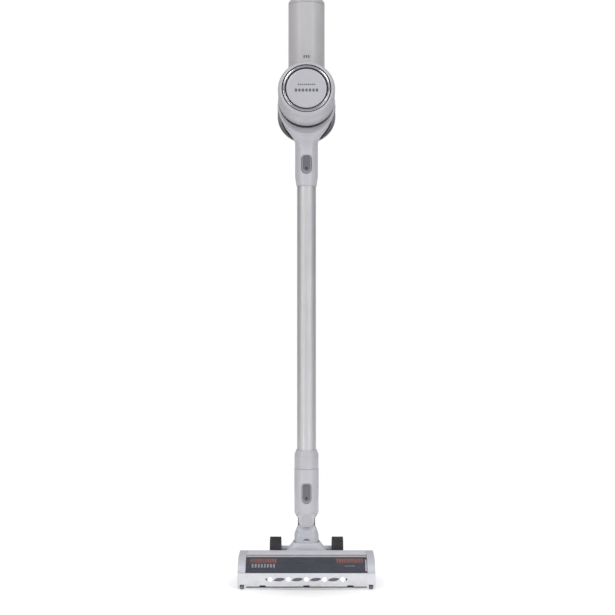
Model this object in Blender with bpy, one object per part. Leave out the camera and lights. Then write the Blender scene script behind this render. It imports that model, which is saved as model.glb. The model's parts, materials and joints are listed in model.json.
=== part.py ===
"""Cordless stick vacuum standing upright, as an assembly of separate pieces.

Frame: metres, +Z up, +X to the machine's left-hand side as seen from the front, -Y to the front.
The origin is on the floor under the wand's axis. Sizes below are in millimetres and MM converts them.
"""

import math

import bmesh
import bpy
from mathutils import Matrix, Vector

MM = 0.001
GAP = 0.3  # between neighbouring solids

# Wand and the two necks that hold it
TUBE_R = 18.0
TUBE_WALL = 1.2
TUBE_BOTTOM, TUBE_TOP = 222.3, 800.0
NECK_R = 23.35
NECK_BORE = 18.5
NECK_BOTTOM, NECK_TOP = 108.0, 206.7
COLLAR_R = 23.0
SPIGOT_BOTTOM, COLLAR_BOTTOM, COLLAR_SHOULDER, COLLAR_TOP = 165.0, 207.0, 233.0, 243.0
INLET_R = 21.8
INLET_BORE = 18.35
INLET_BOTTOM, INLET_TAPER, INLET_TOP = 747.0, 764.0, 832.0
BUTTON_HALF_WIDTH = 9.2
BUTTON_ROUND_R = 9.2
HEAD_BUTTON_Z = (142.7, 181.0)
WAND_BUTTON_Z = (770.0, 805.4)
BUTTON_THICK = 3.0

# Swivel (left-right) and tilt (lean back) pivots
SWIVEL_Z = 107.0
PIVOT_Y, PIVOT_Z = 8.0, 38.0
TONGUE_R = 9.4
TONGUE_Y = (17.8, 21.5)
EAR_Y = (15.1, 17.4)
SWIVEL_PIN_R = 3.0

# Wheels on the yoke
AXLE_Y, AXLE_Z = 23.0, 47.5
AXLE_R, AXLE_END_R, AXLE_END = 5.5, 3.0, 70.5
WHEEL_R, WHEEL_HUB_R = 22.5, 15.0
WHEEL_X = (48.8, 71.0)

# Floor head
HEAD_HALF = 126.0
CHEEK_INNER = 111.5
HEAD_FRONT, HEAD_REAR = -106.0, -23.5
HEAD_TOP = 55.5
SEAM_Z = 30.6
SOLE_Z = (4.0, 7.0)
DECK_HALF, DECK_REAR, DECK_TOP = 48.3, 41.0, 9.5
BUMPER_FOOT = 2.0
BRUSH_Y, BRUSH_Z = -78.0, 22.0
BRUSH_CORE_R, BRUSH_R, BRUSH_HALF = 14.0, 20.5, 104.0
MOTOR_Y, MOTOR_Z = -40.0, 24.0
BELT_X = (113.0, 119.0)
BRUSH_PULLEY_R, MOTOR_PULLEY_R = 9.0, 5.0
LED_PITCH, LED_COUNT, LED_Z = 33.0, 5, 19.5
LED_SLOT = (76.0, 3.5)
FRONT_ROLLER = (-99.5, 4.5, 114.3, 121.4)
REAR_ROLLER = (34.0, 6.0, 25.0, 35.0)
ROLLER_STUB = (1.5, 2.5)  # radius, length beyond the rear roller

# Handheld: the motor and dust cup share an axis that tips its front end up
CYCLONE_TILT = math.radians(16.0)
FACE_TILT = math.radians(8.0)
LEAN_START, LEAN_END = 8.0, 30.0  # the housing bends from the face's tilt to the cyclone's
FACE_Y, FACE_Z = -68.0, 922.6
HOUSING_R, HOUSING_FILLET, HOUSING_END = 53.3, 7.0, 49.0
RING_R, RING_START = 54.9, 59.5
CUP_R, CUP_END, CUP_LENGTH = 56.6, 117.7, 123.1
CUP_PLANE_Y = 5.5
CAP_R, CHROME_IN, CHROME_OUT, CAP_BASE_R = 37.6, 40.4, 44.7, 46.2
BARREL_R, BARREL_WALL, BARREL_TOP, BARREL_FLOOR = 34.65, 2.35, 1093.0, 981.0
TOP_Z = 1108.0
GRIP_LOW_Z, GRIP_HIGH_Z, GRIP_BAR_Y, GRIP_BEND = 969.0, 1079.0, 90.3, 16.0

LOOKS = {
    "white": ((0.80, 0.80, 0.83, 1.0), 0.35, 0.0),
    "grey": ((0.42, 0.43, 0.46, 1.0), 0.45, 0.0),
    "dark": ((0.05, 0.05, 0.055, 1.0), 0.55, 0.0),
    "aluminium": ((0.72, 0.72, 0.74, 1.0), 0.32, 1.0),
    "chrome": ((0.82, 0.82, 0.84, 1.0), 0.12, 1.0),
    "steel": ((0.55, 0.55, 0.57, 1.0), 0.3, 1.0),
    "rubber": ((0.06, 0.06, 0.065, 1.0), 0.8, 0.0),
    "hose": ((0.10, 0.10, 0.11, 1.0), 0.6, 0.0),
    "smoke": ((0.20, 0.19, 0.20, 0.45), 0.1, 0.0),
    "cup": ((0.45, 0.45, 0.48, 0.5), 0.15, 0.0),
    "orange": ((0.85, 0.25, 0.03, 1.0), 0.7, 0.0),
    "filter": ((0.85, 0.85, 0.83, 1.0), 0.9, 0.0),
    "lens": ((0.95, 0.97, 1.0, 1.0), 0.1, 0.0),
    "copper": ((0.72, 0.38, 0.22, 1.0), 0.35, 1.0),
    "cell": ((0.12, 0.28, 0.50, 1.0), 0.4, 0.0),
}


# ---------------------------------------------------------------- tools


def clear_scene():
    for obj in list(bpy.data.objects):
        bpy.data.objects.remove(obj, do_unlink=True)


def look(name):
    made = bpy.data.materials.get(name)
    if made:
        return made
    colour, roughness, metallic = LOOKS[name]
    made = bpy.data.materials.new(name)
    made.use_nodes = True
    shader = made.node_tree.nodes["Principled BSDF"]
    shader.inputs["Base Color"].default_value = colour
    shader.inputs["Roughness"].default_value = roughness
    shader.inputs["Metallic"].default_value = metallic
    shader.inputs["Alpha"].default_value = colour[3]
    return made


def joint(name, position, parent=None):
    """An empty on a joint's axis; the pieces that move with it are its children."""
    empty = bpy.data.objects.new("axis_" + name, None)
    bpy.context.collection.objects.link(empty)
    here = Vector(position) * MM
    empty.parent = parent
    empty.location = here - (world_place(parent) if parent else Vector())
    return empty


def world_place(empty):
    """Where an empty stands; none of them is turned, so the places add up."""
    place = Vector(empty.location)
    while empty.parent:
        empty = empty.parent
        place += empty.location
    return place


def piece(name, mesh, material, empty):
    """Makes a closed bmesh, given in world millimetres, into an object under its body's empty."""
    bmesh.ops.scale(mesh, vec=(MM, MM, MM), verts=mesh.verts)
    bmesh.ops.translate(mesh, vec=-world_place(empty), verts=mesh.verts)
    bmesh.ops.recalc_face_normals(mesh, faces=mesh.faces)
    data = bpy.data.meshes.new(name)
    mesh.to_mesh(data)
    mesh.free()
    data.materials.append(look(material))
    data.shade_smooth()
    data.set_sharp_from_angle(angle=math.radians(35))
    made = bpy.data.objects.new(name, data)
    bpy.context.collection.objects.link(made)
    made.parent = empty
    return made


def combine(target, mesh, operation):
    """Adds or cuts a shape with an exact Boolean, keeping the tool hidden beside its target."""
    tool = piece(target.name + "_tool", mesh, "grey", target.parent)
    tool.hide_render = True
    tool.display_type = "WIRE"
    modifier = target.modifiers.new(operation.lower(), "BOOLEAN")
    modifier.operation = operation
    modifier.solver = "EXACT"
    modifier.object = tool


def cut(target, *meshes):
    for mesh in meshes:
        combine(target, mesh, "DIFFERENCE")


def add(target, *meshes):
    for mesh in meshes:
        combine(target, mesh, "UNION")


def skin(rings, closed=False, capped=True):
    """Bridges rings of points, all of one length, into a surface with capped ends."""
    mesh = bmesh.new()
    rows = [[mesh.verts.new(point) for point in ring] for ring in rings]
    count = len(rows[0])
    pairs = list(zip(rows, rows[1:] + (rows[:1] if closed else [])))
    for low, high in pairs:
        for i in range(count):
            j = (i + 1) % count
            mesh.faces.new((low[i], low[j], high[j], high[i]))
    if capped and not closed:
        mesh.faces.new(rows[0])
        mesh.faces.new(reversed(rows[-1]))
    return mesh


def lathe(profile, place=None, segments=36):
    """Turns (radius, height) points about a local Z axis; a point of radius 0 is a pole."""
    place = place or Matrix()
    mesh = bmesh.new()
    turns = [2 * math.pi * k / segments for k in range(segments)]
    rows = []
    for radius, height in profile:
        if radius < 1e-6:
            rows.append([mesh.verts.new(place @ Vector((0, 0, height)))])
        else:
            rows.append([mesh.verts.new(place @ Vector((radius * math.cos(t), radius * math.sin(t), height)))
                         for t in turns])
    if len(rows[0]) > 1:
        rows.append(rows[0])
    for low, high in zip(rows, rows[1:]):
        for i in range(segments):
            j = (i + 1) % segments
            if len(low) == 1 and len(high) > 1:
                mesh.faces.new((low[0], high[j], high[i]))
            elif len(high) == 1 and len(low) > 1:
                mesh.faces.new((low[i], low[j], high[0]))
            elif len(low) > 1:
                mesh.faces.new((low[i], low[j], high[j], high[i]))
    return mesh


def rod(radius, low, high, place=None, segments=24):
    return lathe([(0, low), (radius, low), (radius, high), (0, high)], place, segments)


def tube(inner, outer, low, high, place=None, segments=36):
    return lathe([(inner, low), (outer, low), (outer, high), (inner, high)], place, segments)


def along_x(y, z):
    """A place whose Z axis is the machine's +X, for shafts across the machine."""
    return Matrix.Translation((0, y, z)) @ Matrix.Rotation(math.radians(90), 4, "Y")


def along_y(x, z):
    """A place whose Z axis is the machine's +Y."""
    return Matrix.Translation((x, 0, z)) @ Matrix.Rotation(math.radians(-90), 4, "X")


def cyclone_place(tilt=CYCLONE_TILT):
    """The motor and cup axis: local Z runs back from the middle of the front face."""
    turn = Matrix.Rotation(math.radians(-90) - tilt, 4, "X")
    return Matrix.Translation((0, FACE_Y, FACE_Z)) @ turn


def lean_front(mesh):
    """Bends a mesh in local cyclone places so that its front stands square to the face."""
    face, cyclone = cyclone_place(FACE_TILT), cyclone_place()
    for vert in mesh.verts:
        share = min(1.0, max(0.0, (LEAN_END - vert.co.z) / (LEAN_END - LEAN_START)))
        vert.co = (face @ vert.co) * share + (cyclone @ vert.co) * (1 - share)
    return mesh


def cyclone_point(back, up):
    return (FACE_Y + back * math.cos(CYCLONE_TILT) + up * math.sin(CYCLONE_TILT),
            FACE_Z - back * math.sin(CYCLONE_TILT) + up * math.cos(CYCLONE_TILT))


def box(x, y, z):
    """A box between pairs of limits."""
    low = [(x[0], y[0], z[0]), (x[1], y[0], z[0]), (x[1], y[1], z[0]), (x[0], y[1], z[0])]
    high = [(px, py, z[1]) for px, py, _ in low]
    return skin([low, high])


def mirrored(span, side):
    """Limits along X moved to the given side, in rising order."""
    return tuple(sorted(side * value for value in span))


def side_prism(outline, x):
    """An outline of (y, z) points, pulled along X between two limits."""
    return skin([[(end, py, pz) for py, pz in outline] for end in x])


def front_prism(outline, y):
    """An outline of (x, z) points, pulled along Y between two limits."""
    return skin([[(px, end, pz) for px, pz in outline] for end in y])


def arc(centre, radius, start, end, count):
    """Points on an arc, in degrees, both ends included."""
    turns = [math.radians(start + (end - start) * k / (count - 1)) for k in range(count)]
    return [(centre[0] + radius * math.cos(t), centre[1] + radius * math.sin(t)) for t in turns]


def curve(start, pull, end, count):
    """Points on a quadratic curve from start to end, drawn towards pull."""
    points = []
    for k in range(count):
        t = k / (count - 1)
        weights = ((1 - t) ** 2, 2 * t * (1 - t), t * t)
        points.append(tuple(sum(w * p[i] for w, p in zip(weights, (start, pull, end))) for i in (0, 1)))
    return points


def oval(half_width, y, z, power=2.6, count=28):
    """A soft-cornered level section between two limits of y."""
    half_depth, middle = (y[1] - y[0]) / 2, (y[0] + y[1]) / 2
    ring = []
    for k in range(count):
        c, s = math.cos(2 * math.pi * k / count), math.sin(2 * math.pi * k / count)
        ring.append((half_width * math.copysign(abs(c) ** (2 / power), c),
                     middle + half_depth * math.copysign(abs(s) ** (2 / power), s), z))
    return ring


def button_outline(z, grow=0.0):
    """A release button's face: square shoulders above and a half round below."""
    half = BUTTON_HALF_WIDTH + grow
    low, high = z[0] - grow, z[1] + grow
    corner = 2.5
    shoulders = arc((half - corner, high - corner), corner, 0, 90, 4)
    shoulders += arc((-half + corner, high - corner), corner, 90, 180, 4)
    return shoulders + arc((0, low + half), half, 180, 360, 13)[:-1]


# ---------------------------------------------------------------- floor head

WINDOW_LOW, WINDOW_PULL, WINDOW_HIGH = (-104.0, SEAM_Z + 0.1), (-95.0, 53.5), (-67.0, HEAD_TOP)
WINDOW_STEPS = 8
SHEET = 2.2


def window_curve(inset=0.0):
    """The window's line from the bumper up to the top strip, moved inwards by an inset."""
    points = curve(WINDOW_LOW, WINDOW_PULL, WINDOW_HIGH, WINDOW_STEPS)
    if not inset:
        return points
    moved = []
    for k, (y, z) in enumerate(points):
        before, after = points[max(k - 1, 0)], points[min(k + 1, len(points) - 1)]
        along = Vector((after[0] - before[0], after[1] - before[1])).normalized()
        moved.append((y + along[1] * inset, max(z - along[0] * inset, WINDOW_LOW[1])))
    return moved


def head_outline(inset=0.0):
    """The floor head's outline from the side, clockwise from the bumper seam to the sole."""
    rear = [(-32.0 - inset, HEAD_TOP - inset), (-28.5 - inset, 52.5 - inset),
            (HEAD_REAR - inset, 36.0), (HEAD_REAR - inset, SOLE_Z[0] + inset)]
    front = [(-93.1 + inset, SOLE_Z[0] + inset), (-93.1 + inset, SEAM_Z + 0.1 + inset)]
    return window_curve(inset) + rear + front


def head_chassis(empty):
    """Sole plate, brush chamber, bearing walls, low rear deck and the two ears of the tilt pivot."""
    base = piece("head_chassis", box((-110.5, 110.5), (-57, -21.5), SOLE_Z), "grey", empty)
    wall = [(y, z) for y, z in window_curve(SHEET + GAP) if y > -101]
    wall += [(-34.6, 52.7), (-26.5, 35.7), (-26.5, 5), (-96.6, 5), (-96.6, 8.4), (-100.8, 8.4), (-100.8, 29)]
    for side in (-1, 1):
        add(base, side_prism(wall, mirrored((107.5, 111.0), side)))
    add(base, box((-108, 108), (-57.0, -54.5), (6, 52.6)))
    add(base, box((-108, 108), (-26.0, -23.8), (6, 32.0)))
    add(base, box((-DECK_HALF, DECK_HALF), (-24, DECK_REAR), (SOLE_Z[0], DECK_TOP)))
    ear = [(-12, 5), (12.9, 5)] + arc((PIVOT_Y, PIVOT_Z), 7.0, -45, 170, 9)
    for side in (-1, 1):
        add(base, side_prism(ear, mirrored((41.5, DECK_HALF), side)))
    pivot = along_x(PIVOT_Y, PIVOT_Z)
    cut(base, rod(5.3, -60, 60, pivot, 20))
    cut(base, box((-17.6, 17.6), (-60, -20), (11.6, 32.4)))
    cut(base, rod(6.2, 100, 112, along_x(BRUSH_Y, BRUSH_Z), 20))
    cut(base, rod(6.2, -112, -100, along_x(BRUSH_Y, BRUSH_Z), 20))
    cut(base, rod(3.0, 100, 112, along_x(MOTOR_Y, MOTOR_Z), 16))
    y, radius, near, far = REAR_ROLLER
    stub_r, stub = ROLLER_STUB
    for side in (-1, 1):
        cut(base, box(mirrored((near - 0.6, far + 0.6), side), (y - radius - 0.8, DECK_REAR + 1), (0, 12)))
        low, high = mirrored((near - stub - GAP, far + stub + GAP), side)
        cut(base, rod(stub_r + GAP, low, high, along_x(y, radius), 16))
    return base


def top_cover(empty):
    """The white strip across the top of the head, turned down over the back."""
    outer = [(-66.6, HEAD_TOP), (-32, HEAD_TOP), (-28.5, 52.5), (HEAD_REAR, 36), (HEAD_REAR, 32.4)]
    inner = [(HEAD_REAR - SHEET, 32.4), (HEAD_REAR - SHEET, 35.5), (-30.4, 51.2), (-33, HEAD_TOP - SHEET),
             (-66.6, HEAD_TOP - SHEET)]
    half = CHEEK_INNER - GAP
    return piece("head_top_cover", side_prism(outer + inner, (-half, half)), "white", empty)


def brush_window(empty):
    sheet = window_curve() + list(reversed(window_curve(SHEET)))
    half = CHEEK_INNER - GAP
    return piece("brush_window", side_prism(sheet, (-half, half)), "smoke", empty)


def end_cap(name, side, empty):
    """A cheek that closes one end of the head: a shell open towards the brush."""
    cap = piece(name, side_prism(head_outline(), mirrored((CHEEK_INNER, HEAD_HALF), side)), "white", empty)
    cut(cap, side_prism(head_outline(SHEET), mirrored((CHEEK_INNER - 2, HEAD_HALF - 2.4), side)))
    return cap


def front_bumper(empty):
    """The front wall with the light slot, a groove and notches low down, and wells for the rollers."""
    front = curve((-103.9, BUMPER_FOOT), (-107.9, 17.5), (-104.3, SEAM_Z - GAP), 7)
    wall = front + [(-101.2, SEAM_Z - GAP), (-101.2, 8), (-97, 8), (-97, BUMPER_FOOT)]
    bumper = piece("front_bumper", side_prism(wall, (-HEAD_HALF, HEAD_HALF)), "white", empty)
    for side in (-1, 1):
        corner = front + [(-94, SEAM_Z - GAP), (-94, BUMPER_FOOT)]
        add(bumper, side_prism(corner, mirrored((CHEEK_INNER, HEAD_HALF), side)))
        _, radius, near, far = FRONT_ROLLER
        cut(bumper, box(mirrored((near - 0.5, far + 0.5), side), (-110, -90), (0, 2 * radius + 0.8)))
    half, tall = LED_SLOT
    slot = arc((half - tall, LED_Z), tall, -90, 90, 7) + arc((-half + tall, LED_Z), tall, 90, 270, 7)
    cut(bumper, front_prism(slot, (-110, -100)))
    cut(bumper, box((-110, 110), (-110, -102.4), (4.3, 5.8)))
    for x in (-80, 0, 80):
        cut(bumper, box((x - 6, x + 6), (-110, -99), (4.3, 8.7)))
    return bumper


def led_places():
    return [LED_PITCH * (k - (LED_COUNT - 1) / 2) for k in range(LED_COUNT)]


def led_block(x, grow):
    """The slanted outline of one light, wider at its top left."""
    half, lean, tall = 4.6 + grow, 2.6, 2.7 + grow
    return [(x - half - lean, LED_Z - tall), (x + half - lean, LED_Z - tall),
            (x + half + lean, LED_Z + tall), (x - half + lean, LED_Z + tall)]


def led_parts(empty):
    """A dark trim that fills the bumper's slot, and the lenses that reach through it from one bar."""
    half, tall = LED_SLOT[0] - GAP, LED_SLOT[1] - GAP
    outline = arc((half - tall, LED_Z), tall, -90, 90, 7) + arc((-half + tall, LED_Z), tall, 90, 270, 7)
    trim = piece("led_trim", front_prism(outline, (-104.6, -101.7)), "dark", empty)
    lenses = piece("led_lenses", box((-72, 72), (-101.3, -100.3), (LED_Z - 2.7, LED_Z + 2.7)), "lens", empty)
    for x in led_places():
        cut(trim, front_prism(led_block(x, GAP), (-110, -100)))
        add(lenses, front_prism(led_block(x, 0), (-105.2, -100.6)))


def bristle_strip(name, start, material, empty):
    """A fin wound round the brush core in a V, from both ends to the middle."""
    steps, thick, wind = 26, 1.3, math.radians(170)
    rings = []
    for k in range(steps + 1):
        x = BRUSH_HALF * (2 * k / steps - 1) * 0.985
        turn = start + wind * abs(x) / BRUSH_HALF
        ring = []
        for radius, sign in ((BRUSH_CORE_R + GAP, -1), (BRUSH_R, -1), (BRUSH_R, 1), (BRUSH_CORE_R + GAP, 1)):
            angle = turn + sign * thick / radius
            ring.append((x, BRUSH_Y + radius * math.cos(angle), BRUSH_Z + radius * math.sin(angle)))
        rings.append(ring)
    return piece(name, skin(rings), material, empty)


def brush_roll(empty):
    axis = along_x(BRUSH_Y, BRUSH_Z)
    piece("brush_core", tube(11, BRUSH_CORE_R, -BRUSH_HALF, BRUSH_HALF, axis, 28), "grey", empty)
    bristle_strip("bristles_orange", math.radians(330), "orange", empty)
    bristle_strip("bristles_dark", math.radians(150), "dark", empty)
    pulley = [(0, 92), (10.7, 92), (10.7, 104.3), (5, 104.3), (5, BELT_X[0]), (BRUSH_PULLEY_R, BELT_X[0]),
              (BRUSH_PULLEY_R, BELT_X[1]), (0, BELT_X[1])]
    piece("brush_pulley", lathe(pulley, axis, 24), "dark", empty)


def drive_belt(empty):
    """A closed belt round both pulleys, standing clear of them by the usual gap."""
    start, end = Vector((BRUSH_Y, BRUSH_Z)), Vector((MOTOR_Y, MOTOR_Z))
    run = end - start
    lean = math.degrees(math.atan2(run.y, run.x))
    swell = math.degrees(math.asin((BRUSH_PULLEY_R - MOTOR_PULLEY_R) / run.length))

    def loop(grow):
        big = arc(start, BRUSH_PULLEY_R + grow, lean + 90 - swell, lean + 270 + swell, 11)
        return big + arc(end, MOTOR_PULLEY_R + grow, lean - 90 + swell, lean + 90 - swell, 9)

    low, high = BELT_X[0] + 0.5, BELT_X[1] - 0.5
    inner, outer = loop(GAP), loop(GAP + 1.2)
    rings = [[(low, *p) for p in inner], [(low, *p) for p in outer], [(high, *p) for p in outer],
             [(high, *p) for p in inner]]
    return piece("drive_belt", skin(rings, closed=True), "dark", empty)


def head_drive(empty, pulley_empty):
    """The brush motor behind the chamber, its pulley, the belt and the suction duct."""
    axis = along_x(MOTOR_Y, MOTOR_Z)
    motor = [(0, 24), (13, 24), (13, 98), (6, 98), (6, 104), (2.2, 104), (2.2, 112.4), (0, 112.4)]
    piece("brush_motor", lathe(motor, axis, 20), "steel", empty)
    piece("motor_pulley", rod(MOTOR_PULLEY_R, BELT_X[0], BELT_X[1], axis, 20), "dark", pulley_empty)
    drive_belt(empty)
    duct = piece("suction_duct", box((-17.2, 17.2), (-54.2, -21.0), (12, 32)), "grey", empty)
    cut(duct, box((-15, 15), (-60, -10), (14.2, 29.8)))


def brush_lock_knob(empty):
    """The turning plug in the right-hand cheek that holds the brush's free end."""
    axis = along_x(BRUSH_Y, BRUSH_Z)
    knob = [(0, -125.6), (15.5, -125.6), (15.5, -122.2), (9, -121.0), (6, -121.0), (6, -100), (0, -100)]
    lock = piece("brush_lock_knob", lathe(knob, axis, 28), "grey", empty)
    for z in (4.0, -6.5):
        low = BRUSH_Z + z
        cut(lock, box((-127, -124.2), (BRUSH_Y - 10, BRUSH_Y + 10), (low, low + 2.5)))
    return lock


def rollers(joints):
    for name, (y, radius, near, far) in (("front_roller", FRONT_ROLLER), ("rear_roller", REAR_ROLLER)):
        for label, side in (("left", 1), ("right", -1)):
            low, high = mirrored((near, far), side)
            profile = [(radius - 0.6, low), (radius, low + 0.8), (radius, high - 0.8), (radius - 0.6, high)]
            if name == "rear_roller":
                stub_r, stub = ROLLER_STUB
                profile = [(0, low - stub), (stub_r, low - stub), (stub_r, low)] + profile
                profile += [(stub_r, high), (stub_r, high + stub), (0, high + stub)]
            else:
                profile = [(0, low)] + profile + [(0, high)]
            node = f"{name}_{label}"
            piece(node, lathe(profile, along_x(y, radius), 20), "rubber", joints[node])


def floor_head(joints):
    root = joints["floor_head"]
    head_chassis(root)
    top_cover(root)
    brush_window(root)
    end_cap("end_cap_left", 1, root)
    right = end_cap("end_cap_right", -1, root)
    cut(right, rod(16.0, -128, -120, along_x(BRUSH_Y, BRUSH_Z), 28))
    front_bumper(root)
    led_parts(root)
    piece("sole_felt_strip", box((-104, 104), (-61.0, -57.3), (0, 6.5)), "rubber", root)
    brush_roll(joints["brush_roll"])
    head_drive(root, joints["motor_pulley"])
    brush_lock_knob(joints["brush_lock_knob"])
    rollers(joints)


# ---------------------------------------------------------------- yoke, wheels and lower neck


def yoke(empty):
    """The tilting bell with its ears for the swivel, its pins and the wheels' axle."""
    sections = [(30.0, (-7, 23), 22), (39.5, (-15, 29), 30), (39.5, (-19, 31), 44), (39.5, (-19, 31), 52),
                (36.0, (-19, 27), 59), (26.0, (-19, 22), 66), (23.35, (-19, 19.5), 71),
                (23.35, (-19, 19), 81), (18.35, (-17.4, 17.4), 93.5)]
    shell = piece("yoke_shell", skin([oval(hw, y, z) for hw, y, z in sections]), "white", empty)
    ear = [(-8.5, 88), (8.5, 88)] + arc((0, SWIVEL_Z), 8.5, 0, 180, 9)
    for side in (-1, 1):
        add(shell, front_prism(ear, mirrored(EAR_Y, side)))
    cut(shell, rod(14.2, 34, 120, segments=28))
    cut(shell, box((-15, 15), (-30, 10), (16, 40)))
    cut(shell, rod(AXLE_R + GAP, -60, 60, along_x(AXLE_Y, AXLE_Z), 20))
    cut(shell, rod(5.3, -60, 60, along_x(PIVOT_Y, PIVOT_Z), 20))
    cut(shell, rod(SWIVEL_PIN_R + GAP, -30, 30, along_y(0, SWIVEL_Z), 16))
    cut(shell, front_prism([(-7.7, 71), (7.7, 71), (5, 74), (0, 75.2), (-5, 74)], (-25, -16)))
    for label, side in (("left", 1), ("right", -1)):
        low, high = mirrored((30, 48.4), side)
        piece(f"trunnion_pin_{label}", rod(5.0, low, high, along_x(PIVOT_Y, PIVOT_Z), 20), "steel", empty)
    for label, side in (("front", -1), ("rear", 1)):
        low, high = mirrored((14.9, 21.2), side)
        piece(f"swivel_pin_{label}", rod(SWIVEL_PIN_R, low, high, along_y(0, SWIVEL_Z), 16), "steel", empty)
    axle = [(0, -AXLE_END), (AXLE_END_R, -AXLE_END), (AXLE_END_R, -48.4), (AXLE_R, -48.4), (AXLE_R, 48.4),
            (AXLE_END_R, 48.4), (AXLE_END_R, AXLE_END), (0, AXLE_END)]
    piece("wheel_axle", lathe(axle, along_x(AXLE_Y, AXLE_Z), 20), "grey", empty)


def neck_hose(empty):
    """A ribbed oval hose that carries the air across the swivel."""
    ribs, low, high = 6, 94.0, 121.0
    outline = []
    for k in range(2 * ribs + 1):
        grow = -1.3 if k % 2 else 0.0
        outline.append((grow, low + (high - low) * k / (2 * ribs)))
    rings = [oval(16.9 + grow, (-14.6 - grow, 14.6 + grow), z, 2.0, 24) for grow, z in outline]
    inner = [oval(13.6, (-11.4, 11.4), z, 2.0, 24) for z in (high, low)]
    return piece("neck_hose", skin(rings + inner, closed=True), "hose", empty)


def wheels(joints):
    place = along_x(AXLE_Y, AXLE_Z)
    near, far = WHEEL_X
    for label, side in (("left", 1), ("right", -1)):
        empty = joints[f"wheel_{label}"]
        low, high = mirrored((near + 0.8, far - 1.0), side)
        piece(f"wheel_hub_{label}", tube(AXLE_END_R + GAP, WHEEL_HUB_R, low, high, place, 28), "grey", empty)
        low, high = mirrored((near, far), side)
        bore, edge = WHEEL_HUB_R + GAP, 2.0
        tyre = [(bore, low), (WHEEL_R - edge, low), (WHEEL_R, low + edge), (WHEEL_R, high - edge),
                (WHEEL_R - edge, high), (bore, high)]
        piece(f"wheel_tyre_{label}", lathe(tyre, place, 32), "rubber", empty)


def lower_neck(empty, button_empty):
    profile = [(17.7, NECK_BOTTOM), (19.6, NECK_BOTTOM), (NECK_R, 120), (NECK_R, NECK_TOP - 1),
               (NECK_R - 0.6, NECK_TOP), (NECK_BORE, NECK_TOP), (NECK_BORE, 140), (15.6, 140), (15.6, 124),
               (17.7, 122)]
    shell = piece("neck_shell", lathe(profile, segments=36), "white", empty)
    tongue = [(TONGUE_R, 124), (-TONGUE_R, 124)] + arc((0, SWIVEL_Z), TONGUE_R, 180, 360, 11)
    for side in (-1, 1):
        add(shell, front_prism(tongue, mirrored(TONGUE_Y, side)))
    cut(shell, rod(12.0, -TONGUE_Y[0] + 0.1, TONGUE_Y[0] - 0.1, along_y(0, SWIVEL_Z), 24))
    cut(shell, rod(SWIVEL_PIN_R + GAP, -30, 30, along_y(0, SWIVEL_Z), 16))
    cut(shell, front_prism(button_outline(HEAD_BUTTON_Z, GAP), (-30, -15)))
    front = -NECK_R - 0.3
    button = front_prism(button_outline(HEAD_BUTTON_Z), (front, front + BUTTON_THICK))
    piece("head_release_button", button, "grey", button_empty)


# ---------------------------------------------------------------- wand


def wand(empty):
    piece("wand_tube", tube(TUBE_R - TUBE_WALL, TUBE_R, TUBE_BOTTOM, TUBE_TOP, segments=36), "aluminium",
          empty)
    collar = [(15.9, SPIGOT_BOTTOM), (18.2, SPIGOT_BOTTOM), (18.2, COLLAR_BOTTOM), (COLLAR_R, COLLAR_BOTTOM),
              (COLLAR_R, COLLAR_SHOULDER), (19.2, COLLAR_TOP), (TUBE_R + GAP, COLLAR_TOP),
              (TUBE_R + GAP, TUBE_BOTTOM - GAP), (15.9, TUBE_BOTTOM - GAP)]
    piece("wand_lower_collar", lathe(collar, segments=36), "white", empty)
    duct = box((-3.5, 3.5), (12.6, 14.9), (SPIGOT_BOTTOM + 3, TUBE_TOP - 2))
    piece("wand_wire_duct", duct, "dark", empty)


# ---------------------------------------------------------------- handheld unit


def inlet_body(empty):
    """The inlet neck, the fan that opens from it and the ring round the mouth of the dust cup."""
    place = cyclone_place()
    fan = [(INLET_R, (-21.8, 21.8), 824), (22.6, (-22.0, 21.0), 832), (27.5, (-24, 12), 837),
           (32, (-27, CUP_PLANE_Y), 842), (38, (-31, CUP_PLANE_Y), 851), (42.6, (-34, CUP_PLANE_Y), 861),
           (46.5, (-35, CUP_PLANE_Y), 872), (50.3, (-33, CUP_PLANE_Y), 886)]
    body = piece("inlet_body", skin([oval(hw, y, z, 2.4) for hw, y, z in fan]), "white", empty)
    neck = [(0, INLET_BOTTOM), (19.2, INLET_BOTTOM), (INLET_R, INLET_TAPER), (INLET_R, INLET_TOP), (0, INLET_TOP)]
    add(body, lathe(neck, segments=36))
    add(body, rod(RING_R, RING_START, 96, place, 48))
    cut(body, rod(64, -10, RING_START - 0.1, place, 36))
    cut(body, box((-80, 80), (CUP_PLANE_Y, 60), (838.4, 1000)))
    cut(body, rod(51.4, 30, 110, place, 48))
    cut(body, rod(INLET_BORE, 740, 803, segments=36))
    cut(body, rod(13.0, -6, 80, inlet_slant(), 24))
    cut(body, front_prism(button_outline(WAND_BUTTON_Z, GAP), (-30, -15)))
    return body


def inlet_slant():
    """The upper air passage leans forward from the neck into the ring."""
    start, end = Vector((0, 0, 800)), Vector((0, -12, 866))
    turn = Vector((0, 0, 1)).rotation_difference((end - start).normalized()).to_matrix().to_4x4()
    return Matrix.Translation(start) @ turn


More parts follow.
